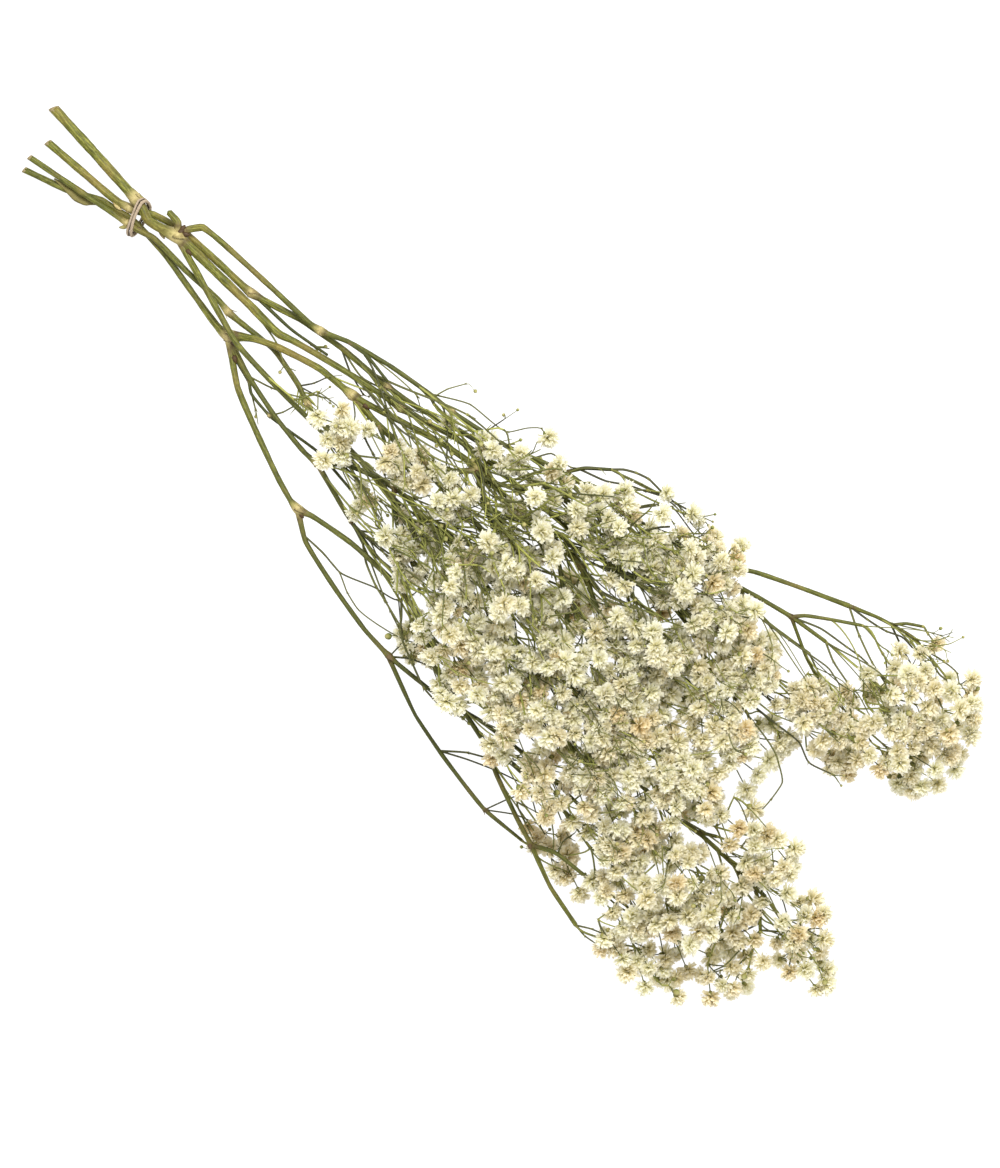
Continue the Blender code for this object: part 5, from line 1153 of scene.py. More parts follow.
def tieFrames(count):
    # evenly spaced centres of the band, with its way ahead, out of the ring and across
    path, _, _ = smoothPath(tiePath + tiePath[:1], [1.0] * (len(tiePath) + 1), 0.6)
    lengths = np.concatenate([[0], np.cumsum(np.linalg.norm(np.diff(path, axis=0), axis=1))])
    along = np.arange(count) / count * lengths[-1]
    centres = np.stack([np.interp(along, lengths, path[:, k]) for k in range(3)], -1)
    ahead = np.roll(centres, -1, 0) - np.roll(centres, 1, 0)
    ahead /= np.linalg.norm(ahead, axis=1)[:, None]
    out = centres - centres.mean(axis=0)
    out -= ahead * np.sum(out * ahead, axis=1)[:, None]
    out /= np.linalg.norm(out, axis=1)[:, None]
    return centres, along, out, np.cross(out, ahead)


def buildTie():
    count, sides = tieLook["steps"], tieLook["sides"]
    centres, along, out, across = tieFrames(count)
    angle = 2 * math.pi * np.arange(sides) / sides
    around = np.arange(count) / count * 2 * math.pi
    drift, driftTurns = 0.10, 3
    lift, liftTurns = 0.12, 2
    # painted shade on the side of each strand toward the other strand: how steeply it darkens round the strand,
    # and where it starts
    paintedShadeSteep, edge = 2.4, 1.1
    streakRound, streakApart, streakAlong = 2, 9, 0.5
    index = np.arange(count * sides).reshape(count, sides)
    ahead = np.roll(index, -1, 0)
    quads = np.stack([index, ahead, np.roll(ahead, -1, 1), np.roll(index, -1, 1)], -1).reshape(-1, 4)
    pile = Pile()
    for strand in (-1, 1):
        aside = drift * np.sin(around * driftTurns + strand)
        axis = centres + across * (strand * tieLook["pitch"] / 2 + aside)[:, None]
        axis = axis + out * (lift * strand * np.sin(around * liftTurns))[:, None]
        plies = np.cos(tieLook["plies"] * angle[None, :] + around[:, None] * tieLook["twist"])
        size = tieLook["strandRadius"] * (1 + 0.09 * plies)
        ring = axis[:, None, :] + size[:, :, None] * (across[:, None, :] * np.cos(angle)[None, :, None]
                                                      + out[:, None, :] * np.sin(angle)[None, :, None])
        # painted shade: the side of each strand that turns toward the other strand is darkened
        paintedShadeSide = np.clip(-strand * np.cos(angle) * paintedShadeSteep - edge, 0, 1)
        tint = np.zeros((count * sides, 4))
        tint[:, 0] = np.tile(paintedShadeSide, count)
        tint[:, 3] = 1
        grain = np.stack([np.tile(np.cos(angle), count) * streakRound,
                          np.tile(np.sin(angle), count) * streakRound + strand * streakApart,
                          np.repeat(along, sides) * streakAlong], -1)
        pile.add(ring.reshape(-1, 3), [quads], 0, tint, grain)
    makePiece("cordBand", pile, [tieFinish()], "tie")
    print("tie triangles", pile.triangles())


flower = {
    "kinds": 7, "shutKinds": 3, "seed": 11, "size": (3.9, 5.1),
    # petals, length, lift in degrees
    "layers": [(14, 4.1, -20.0), (15, 4.4, 2.0), (15, 4.5, 22.0), (14, 4.5, 41.0), (12, 4.4, 59.0),
               (9, 4.3, 77.0)],
    # rows of a petal: how far out, and half width
    "rows": [(0.0, 0.14), (0.62, 0.66), (1.0, 0.60)],
    "wide": (0.7, 1.25), "tip": (-0.8, 0.3), "lean": 16, "curl": 70, "twist": 90,
    # stretch of each flower
    "sideways": (0.88, 1.12), "upward": (0.8, 1.15),
    # age of a flower: how far from its spray's, share of tan ones and how much more they have aged
    "ageSpread": 0.12, "tanShare": 0.14, "tanMore": (0.2, 0.7),
}


def petalSheet(length, lift, rng):
    # one narrow petal, curled and twisted near its tip: x outward, z up, two points across in each row
    t, half = np.array(flower["rows"]).T
    half = half * rng.uniform(*flower["wide"])
    lean = rng.uniform(-flower["lean"], flower["lean"])
    curl = rng.uniform(-flower["curl"], flower["curl"])
    angle = math.radians(lift + lean) + math.radians(curl) * t ** 2
    step = np.diff(t) * length
    x = np.concatenate([[0], np.cumsum(np.cos(angle[:-1]) * step)]) + 0.3
    z = np.concatenate([[0], np.cumsum(np.sin(angle[:-1]) * step)])
    twist = math.radians(rng.uniform(-flower["twist"], flower["twist"])) * t
    twist = twist + math.radians(rng.uniform(-30, 30))
    points = []
    for c in (-1, 1):
        rise = c * half * np.sin(twist)
        cut = np.where(t == 1, rng.uniform(*flower["tip"]), 0.0)
        points.append(np.stack([x + cut * np.cos(angle) - rise * np.sin(angle), c * half * np.cos(twist),
                                z + cut * np.sin(angle) + rise * np.cos(angle)], -1))
    index = np.arange(len(half) * 2).reshape(len(half), 2)
    quads = np.stack([index[:-1, 0], index[1:, 0], index[1:, 1], index[:-1, 1]], -1)
    return np.stack(points, 1).reshape(-1, 3), quads, np.repeat(t, 2)


def flowerKind(rng, openness):
    # petals of one flower about +z, with how far out each point lies and its layer
    points, quads, along, layer = [], [], [], []
    count = 0
    uneven = 0.5
    for k, (petals, length, lift) in enumerate(flower["layers"]):
        for i in range(petals):
            turn = 2 * math.pi * (i + 0.5 * (k % 2) + rng.uniform(-uneven, uneven)) / petals
            sheet, faces, out = petalSheet(length * rng.uniform(0.82, 1.06), lift + openness, rng)
            c, s = math.cos(turn), math.sin(turn)
            moved = np.stack([sheet[:, 0] * c - sheet[:, 1] * s, sheet[:, 0] * s + sheet[:, 1] * c,
                              sheet[:, 2] + 0.1 * k], -1)
            points.append(moved)
            quads.append(faces + count)
            along.append(out)
            layer.append(np.full(len(out), rng.random()))
            count += len(moved)
    points = np.concatenate(points) / 4.3
    return points, np.concatenate(quads), np.concatenate(along), np.concatenate(layer)


# cup under the petals: rings (how far out, how high, how toothed), and how far up their colour is taken
cupShape = {"sides": 8, "rings": ((0.35, -2.1, 0.0), (1.05, -1.3, 0.0), (1.2, -0.2, 0.75), (0.8, -0.25, 0.0)),
            "flare": 0.12, "along": [0.0, 0.5, 1.0, 1.0]}


def cupKind():
    # green cup with teeth at its rim
    count = cupShape["sides"]
    angle = 2 * math.pi * np.arange(count) / count
    tooth = np.where(np.arange(count) % 2 == 0, 1.0, 0.0)
    rings = []
    for share, rise, teeth in cupShape["rings"]:
        radius = share + teeth * cupShape["flare"] * tooth
        rings.append(np.stack([radius * np.cos(angle), radius * np.sin(angle), rise + teeth * tooth], -1))
    index, quads = ringQuads(len(rings), count)
    return np.concatenate(rings), [quads, np.array([index[0][::-1]])], np.repeat(cupShape["along"], count)


def ageOf(age, rng):
    # some flowers of every spray have turned tan
    tan = rng.gauss(0, flower["ageSpread"])
    more = rng.uniform(*flower["tanMore"]) if rng.random() < flower["tanShare"] else 0.0
    return min(1.0, max(0.0, age + tan + more))


def turned(points, way, turn):
    side, other = sideWays(way)
    a = side * math.cos(turn) + other * math.sin(turn)
    return points @ np.array([a, np.cross(way, a), way])


# rings of a bud: how far out, how high; rows of a knot: how far along, how thick; both in their own size
budShape = {"sides": 6, "rings": ((0.35, -1.0), (0.85, -0.55), (1.0, 0.0), (0.8, 0.6), (0.35, 1.05)),
            "ridge": 0.1, "ridges": 5}
knotShape = {"rows": [(-1.5, 0.8), (-0.5, 1.35), (0.6, 1.3), (1.5, 0.8)],
             "bract": (2.5, 4.5), "spread": (0.3, 0.9), "taper": [0.8, 0.75, 0.45, 0.08]}

cymes = {
    "seed": 23, "drop": 7.5, "midHeight": 26.0, "near": 2.8, "far": 4.4,
    "thickest": 0.5, "thinnest": 0.3,
    # chances of one to four flowers where the layout has a bloom; a small bloom has one
    "usual": (0, 5, 6, 1), "fewer": (4, 5, 1, 0), "loneRadius": 6.0, "shutShare": 0.08,
    # chances of none to two buds
    "buds": (5, 4, 2), "budReach": (5, 9), "budSize": (0.9, 1.5),
    # flowers turn warmer toward the tips
    "warmX": (20, 150), "warmTone": (0.05, 0.17),
}

# numbers of the sprays with few flowers, and of those that have aged to tan or stayed pale; the tan of the low
# sprays that lie under the others is partly their age and partly painted shade
sparseSprays = (1, 3, 6, 7, 8, 30, 43, 52)
ageAndShadeTones = {2: 0.0, 6: 0.25, 7: 0.3, 13: 0.3, 16: 0.35, 19: 0.45, 20: 0.45, 22: 0.02, 31: 0.02, 32: 0.0, 34: 0.3,
         36: 0.3, 37: 0.45, 38: 0.3, 42: 0.6, 44: 0.4, 46: 0.02, 50: 0.45, 52: 0.4}


class Meadow:
    # draws flowers, buds and twigs, and knows where the sprays and branches are
    def __init__(self):
        self.finishes = [petalFinish(), twigFinish(), cupFinish()]
        rng = random.Random(flower["seed"])
        self.kinds = [flowerKind(rng, rng.uniform(-6, 14)) for _ in range(flower["kinds"])]
        self.shut = [flowerKind(rng, 38) for _ in range(flower["shutKinds"])]
        self.cup = cupKind()
        self.flowers = 0
        self.plan = layOut()
        self.blooms = np.array([p for _, _, entries in self.plan.values() for entry in entries
                                for p in bloomsOf(entry)])
        self.places, self.ways = trunkPoints()

    def bloom(self, pile, centre, way, size, age, rng, shut=False):
        points, quads, along, layer = rng.choice(self.shut if shut else self.kinds)
        turn = rng.uniform(0, 2 * math.pi)
        stretch = np.array([rng.uniform(*flower[key]) for key in ("sideways", "sideways", "upward")])
        shape = turned(points * stretch * size, way, turn) + centre
        aged = np.clip(age + (layer - 0.5) * 0.22, 0, 1)
        pile.add(shape, [quads], 0, np.stack([aged, along, layer, np.ones(len(along))], -1))
        cup, faces, rise = self.cup
        pile.add(turned(cup * 0.24 * size, way, turn) + centre, faces, 2,
                 np.stack([np.full(len(rise), age), rise, np.zeros(len(rise)), np.ones(len(rise))], -1))
        self.flowers += 1

    def bud(self, pile, centre, way, size, rng):
        # closed bud: a pointed egg with a pale tip
        count = budShape["sides"]
        angle = 2 * math.pi * np.arange(count) / count
        rings = []
        for share, up in budShape["rings"]:
            radius = size * share * (1 + budShape["ridge"] * np.cos(angle * budShape["ridges"]))
            rings.append(np.stack([radius * np.cos(angle), radius * np.sin(angle),
                                   np.full(count, up * size)], -1))
        index, quads = ringQuads(len(rings), count)
        tint = np.zeros((len(rings) * count, 4))
        tint[:, 1] = np.repeat(np.clip([0.5 + 0.5 * up for _, up in budShape["rings"]], 0, 1), count)
        tint[:, 3] = 1
        pile.add(turned(np.concatenate(rings), way, 0.0) + centre,
                 [quads, np.array([index[0][::-1], index[-1]])], 2, tint)

    def twig(self, pile, path, startRadius, endRadius, rng, dark=0.0):
        radii = np.linspace(startRadius, endRadius, len(path))
        sweep(pile, path, radii, 5 if startRadius > 0.5 else 4, 1, (0.0, dark, rng.random(), 1))

    def knot(self, pile, place, way, radius, rng, tan=0.35, dark=0.15):
        # small swollen fork with two tiny pointed bracts
        path = np.array([place + way * radius * far for far, _ in knotShape["rows"]])
        sweep(pile, path, [radius * thick for _, thick in knotShape["rows"]], 5, 1,
              (tan, dark, rng.random(), 1))
        side, other = sideWays(way)
        turn = rng.uniform(0, math.pi)
        taper = np.array(knotShape["taper"])
        t = np.linspace(0, 1, len(taper))[:, None]
        for k in range(2):
            out = side * math.cos(turn + k * math.pi) + other * math.sin(turn + k * math.pi)
            length = radius * rng.uniform(*knotShape["bract"])
            leaf = (place + out * radius * 0.9 + way * t * length
                    + out * t ** 2 * length * rng.uniform(*knotShape["spread"]))
            blade(pile, leaf, radius * taper, out, 0.16, 1, (tan, dark, rng.random(), 1))

    def cyme(self, pile, start, incoming, centre, radius, age, rng, thin, sparse):
        # a few true-size flowers on hair-thin stalks in the room of one bloom
        reach = float(np.linalg.norm(centre - start))
        onward = unit(centre - start)
        hub = start + onward * max(reach - cymes["drop"], reach * 0.35)
        path = bend(start, incoming, hub, onward, 6)
        self.twig(pile, path, thin, thin * 0.85, rng, rng.uniform(0, 0.8))
        self.knot(pile, hub, onward, thin * 0.8, rng)
        tilt = [rng.uniform(-0.3, 0.3) for _ in range(2)]
        up = 0.75 if centre[2] > cymes["midHeight"] else -0.2
        axis = unit(onward + np.array([*tilt, up]))
        side, other = sideWays(axis)
        lone = radius < cymes["loneRadius"]
        count = 1 if lone else rng.choices([1, 2, 3, 4], cymes["fewer" if sparse else "usual"])[0]
        first = rng.uniform(0, 2 * math.pi)
        uneven, level = 0.12, 1.6
        along, upward = 0.5, 0.25
        for k in range(count):
            angle = first + 2 * math.pi * (k + rng.uniform(-uneven, uneven)) / count
            out = side * math.cos(angle) + other * math.sin(angle)
            far = 0.0 if count == 1 else rng.uniform(cymes["near"], cymes["far"])
            size = rng.uniform(*flower["size"]) * (1.1 if lone else 0.94)
            place = centre + out * far + axis * rng.uniform(-level, level)
            place[2] = max(place[2], size * 0.8)
            way = unit(unit(place - hub) + axis * along + np.array([0, 0, upward]))
            foot = place - way * size * 0.45
            shut = rng.random() < cymes["shutShare"] and not lone
            self.bloom(pile, place - way * size * 0.1, way, size * (0.72 if shut else 1),
                       ageOf(age, rng), rng, shut)
            thick, thinner = 0.72, 0.6
            self.twig(pile, bend(hub, onward, foot, way, 6, 0.4), thin * thick, thin * thinner, rng,
                      rng.uniform(0, 0.9))
        self.sideBuds(pile, hub, onward, side, other, thin, rng)

    def sideBuds(self, pile, hub, onward, side, other, thin, rng):
        spread = 1.3
        thick, thinner = 0.6, 0.5
        for _ in range(rng.choices([0, 1, 2], cymes["buds"])[0]):
            out = unit(onward + side * rng.uniform(-spread, spread) + other * rng.uniform(-spread, spread))
            place = hub + out * rng.uniform(*cymes["budReach"])
            place[2] = max(place[2], 1.6)
            path = bend(hub, onward, place - out * 1.0, out, 5)
            self.twig(pile, path, thin * thick, thin * thinner, rng, 0.3)
            self.bud(pile, place, out, rng.uniform(*cymes["budSize"]), rng)

    def grow(self, pile, entry, incoming, depth, age, rng, sparse):
        # twigs of one spray from fork to fork, and flowers at their ends
        thin = max(cymes["thinnest"], cymes["thickest"] * 0.86 ** depth)
        if "fork" in entry:
            onward = unit(entry["fork"] - entry["at"])
            path = bend(entry["at"], incoming, entry["fork"], onward, 7)
            self.twig(pile, path, thin, thin * 0.9, rng, rng.uniform(0, 0.5))
            self.knot(pile, entry["fork"], onward, thin, rng)
            for child in entry["children"]:
                self.grow(pile, child, onward, depth + 1, age, rng, sparse)
            return
        centre, radius = entry["bloom"]
        start = entry["at"]
        if entry["via"] is not None:
            onward = unit(unit(entry["via"] - start) + unit(centre - entry["via"]))
            path = bend(start, incoming, entry["via"], onward, 6)
            self.twig(pile, path, thin, thin * 0.9, rng)
            start, incoming = entry["via"], onward
        self.cyme(pile, start, incoming, centre, radius, age, rng, thin, sparse)


def bloomsOf(entry):
    if "fork" in entry:
        return [bloom for child in entry["children"] for bloom in bloomsOf(child)]
    return [entry["bloom"][0]]


def trunkPoints():
    # points and ways along every branch, as places where finer twigs start
    places, ways = [], []
    for branches in stemRows.values():
        for rows in branches:
            path, _, _ = smoothPath([row[:3] for row in rows], [row[3] for row in rows], 3.0,
                                    stemShape["slack"])
            places.append(path)
            ways.append(np.gradient(path, axis=0))
    ways = np.concatenate(ways)
    return np.concatenate(places), ways / np.linalg.norm(ways, axis=1)[:, None]


def buildSprays(meadow):
    rng = random.Random(cymes["seed"])
    total = 0
    for number, (name, (start, direction, entries)) in enumerate(meadow.plan.items(), 1):
        pile = Pile()
        # collar where the spray leaves its branch tip
        path = np.array([start - direction * 1.2, start, start + direction * 0.8])
        sweep(pile, path, [0.62, 0.66, 0.5], 8, 1, (0.3, 0.1, rng.random(), 1))
        # tone of the spray: its age, and for the low sprays partly painted shade
        tone = ageAndShadeTones.get(number, float(np.interp(start[0], cymes["warmX"], cymes["warmTone"])))
        for entry in entries:
            meadow.grow(pile, entry, direction, 0, tone, rng, number in sparseSprays)
        makePiece(name.replace("spray_", "flowers"), pile, meadow.finishes, name)
        total += pile.triangles()
    print("sprays, flowers", meadow.flowers, "triangles", total)


# where the upper flowers lie: x from, x to, y from, y to, flowers, age
patches = [
    (-78, -56, -26, -6, 5, 0.0), (-45, -28, -12, 3, 7, 0.05), (-26, -8, -10, 4, 8, 0.05),
    (-46, -36, -32, -25, 2, 0.1), (-24, -6, -34, -18, 6, 0.05), (-10, -4, -42, -38, 2, 0.1),
    (-40, -34, 17, 19, 1, 0.0), (-18, -5, 21, 24, 3, 0.0), (-3, 15, -35, -15, 7, 0.05),
    (10, 30, 0, 15, 7, 0.05), (5, 32, 24, 36, 7, 0.1), (30, 41, 42, 48, 3, 0.1), (35, 60, 28, 47, 11, 0.05),
    (58, 74, 30, 46, 10, 0.1), (72, 92, 48, 63, 10, 0.1), (78, 104, 32, 52, 12, 0.15),
    (66, 76, 0, 14, 4, 0.2), (14, 40, -14, 0, 9, 0.05), (38, 52, -16, -3, 5, 0.1),
    (2, 30, -27, -14, 8, 0.05), (20, 40, -42, -27, 10, 0.0), (38, 55, -42, -25, 8, 0.0),
    (17, 42, -58, -42, 10, 0.1), (55, 70, -32, -18, 7, 0.0), (68, 82, -42, -28, 6, 0.0),
    (50, 70, -56, -40, 10, 0.1), (40, 52, -65, -50, 5, 0.2), (70, 100, -20, 2, 13, 0.1),
    (92, 120, -10, 20, 15, 0.1), (98, 130, 15, 45, 15, 0.1), (85, 115, -32, -12, 13, 0.05),
    (82, 112, -50, -30, 14, 0.1), (72, 92, -60, -48, 7, 0.25), (92, 118, -72, -48, 10, 0.4),
    (108, 135, -45, -15, 14, 0.1), (115, 150, -12, 15, 12, 0.1), (118, 148, -68, -42, 12, 0.15),
    (105, 132, -86, -70, 6, 0.45), (135, 165, 8, 35, 10, 0.15), (138, 162, -10, 12, 6, 0.15),
    (148, 180, 28, 55, 11, 0.25), (165, 188, 27, 45, 7, 0.4), (175, 200, 40, 65, 13, 0.15),
    (195, 214, 44, 66, 9, 0.2), (176, 208, 56, 80, 12, 0.15), (202, 214, 66, 84, 5, 0.25),
    (138, 165, -60, -30, 13, 0.1), (128, 156, -28, -12, 7, 0.1), (158, 190, -70, -35, 15, 0.15),
    (138, 165, -85, -60, 11, 0.15), (158, 188, -94, -68, 12, 0.15), (168, 198, -35, -8, 11, 0.15),
    (185, 205, -60, -40, 7, 0.2), (185, 200, -78, -62, 5, 0.2), (202, 217, -78, -45, 8, 0.25),
    (198, 222, -38, -14, 6, 0.2), (222, 242, -50, -24, 5, 0.2), (60, 88, -46, -14, 12, 0.1),
    (88, 114, -48, -16, 12, 0.1), (88, 110, -10, 14, 9, 0.15), (108, 132, -12, 14, 9, 0.15),
    (92, 112, 14, 40, 9, 0.15), (112, 134, 14, 40, 8, 0.15), (50, 74, -18, 8, 5, 0.1),
    (114, 140, -44, -14, 9, 0.1),
]
upper = {
    "seed": 5, "tries": 60, "spacing": 7.2, "height": (-7, 3), "warmFrom": 60, "warmer": 0.03, "group": 4,
    # the tie that they grow away from, and how far back their branch is sought
    "tie": (-185.0, -8.0), "reach": 42.0, "least": 16.0,
    # how far along the fork is, how far behind its flowers a hub is, radii
    "fork": (0.42, 0.55), "hubBack": (9, 17), "hubRise": (-4, 7), "faceUp": (0.1, 0.9),
    "trunk": 0.55, "twig": 0.42, "stalk": 0.3,
    # bare stem at the right that no flower hides
    "bareLine": ((128, -35), (208, -29)), "bareBy": 3.6,
    # height of the eye above the middle of the picture, and the height at which places are read
    "eye": 3422.0, "middle": (26.8, -14.4), "readAt": 15.0,
}


def standing(x, y, z):
    # where a thing stands that shows at x, y on a picture taken from the height of the eye
    share = (upper["eye"] - z) / (upper["eye"] - upper["readAt"])
    mx, my = upper["middle"]
    return np.array([mx + (x - mx) * share, my + (y - my) * share, z])


def offBareLine(x, y):
    # true where no upper flower would hide the bare stem at the right
    (ax, ay), (bx, by) = upper["bareLine"]
    share = ((x - ax) * (bx - ax) + (y - ay) * (by - ay)) / ((bx - ax) ** 2 + (by - ay) ** 2)
    share = min(1.0, max(0.0, share))
    return math.hypot(x - ax - share * (bx - ax), y - ay - share * (by - ay)) > upper["bareBy"]


def canopy(x, y, meadow):
    # height of the flowers round a place, or a little over the nearest branch
    near = meadow.blooms[np.hypot(meadow.blooms[:, 0] - x, meadow.blooms[:, 1] - y) < 13]
    if len(near):
        return float(near[:, 2].max())
    flat = np.hypot(meadow.places[:, 0] - x, meadow.places[:, 1] - y)
    return float(meadow.places[int(np.argmin(flat))][2]) + 6


def smallGroups(group, most):
    if len(group) <= most:
        return [group]
    low, high = splitGroup(group)
    return smallGroups(low, most) + smallGroups(high, most)


def patchSpots(meadow, patch, rng):
    # places of the flowers of one patch, spaced apart
    x0, x1, y0, y1, count, _ = patch
    spots = []
    for _ in range(count * upper["tries"]):
        x, y = rng.uniform(x0, x1), rng.uniform(y0, y1)
        place = standing(x, y, canopy(x, y, meadow) + rng.uniform(*upper["height"]))
        if len(spots) < count and offBareLine(x, y):
            if all(np.hypot(*(place - p)[:2]) > upper["spacing"] for p, _ in spots):
                spots.append((place, 0))
    return spots


def swayed(rng, z):
    sway = 2
    return np.array([rng.uniform(-sway, sway), rng.uniform(-sway, sway), z])


def patchFlowers(meadow, pile, spots, foot, way, out, age, rng):
    # one trunk from a branch to a fork, twigs to small groups, and stalks to their flowers
    middle = np.mean([p for p, _ in spots], axis=0)
    trunkPull, twigPull, stalkPull = 0.3, 0.25, 0.22
    share = rng.uniform(*upper["fork"])
    fork = foot + (middle - foot) * share + swayed(rng, -2.0)
    onward = unit(fork - foot)
    path = bend(foot, unit(way + onward), fork, onward, 8, trunkPull)
    meadow.twig(pile, path, upper["trunk"], upper["twig"], rng, 0.1)
    meadow.knot(pile, fork, onward, upper["twig"], rng)
    hubStalk = upper["stalk"] * 1.15
    for group in smallGroups(spots, upper["group"]):
        heart = np.mean([p for p, _ in group], axis=0)
        back = rng.uniform(*upper["hubBack"])
        hub = heart - out * back + swayed(rng, 0.0)
        hub[2] = max(hub[2] + rng.uniform(*upper["hubRise"]), 2.0)
        arrive = unit(hub - fork)
        path = bend(fork, unit(onward + arrive), hub, arrive, 7, twigPull)
        meadow.twig(pile, path, upper["twig"], hubStalk, rng, rng.uniform(0, 0.6))
        meadow.knot(pile, hub, arrive, hubStalk, rng)
        for place, _ in group:
            size = rng.uniform(*flower["size"])
            face = unit(unit(place - hub) + np.array([0, 0, rng.uniform(*upper["faceUp"])]))
            stalkEnd = place - face * size * 0.45
            leave = unit(arrive + unit(stalkEnd - hub) * 1.5)
            path = bend(hub, leave, stalkEnd, face, 6, stalkPull)
            meadow.twig(pile, path, upper["stalk"], upper["stalk"] * 0.8, rng, rng.uniform(0, 0.9))
            meadow.bloom(pile, place - face * size * 0.1, face, size, ageOf(age, rng), rng)


def buildUpperFlowers(meadow):
    # a loose layer over the sprays, each patch grown from the branch that suits it best
    rng = random.Random(upper["seed"])
    total = 0
    for k, patch in enumerate(patches):
        spots = patchSpots(meadow, patch, rng)
        warmer = upper["warmer"] if patch[0] >= upper["warmFrom"] else 0.0
        middle = np.mean([p for p, _ in spots], axis=0)
        out = unit(np.append(middle[:2] - np.array(upper["tie"]), 0.0) + np.array([0, 0, 25.0]))
        gap = middle - meadow.places
        ahead = gap @ out
        aside = np.linalg.norm(gap - ahead[:, None] * out, axis=1)
        cost = np.abs(ahead - upper["reach"]) + 1.3 * aside
        best = int(np.argmin(cost + np.where(ahead < upper["least"], 1000, 0)))
        pile = Pile()
        foot, way = meadow.places[best], meadow.ways[best]
        patchFlowers(meadow, pile, spots, foot, way, out, patch[5] + warmer, rng)
        makePiece("upperFlowers%02d" % (k + 1), pile, meadow.finishes, None)
        total += pile.triangles()
    print("upper flowers, flowers so far", meadow.flowers, "triangles", total)


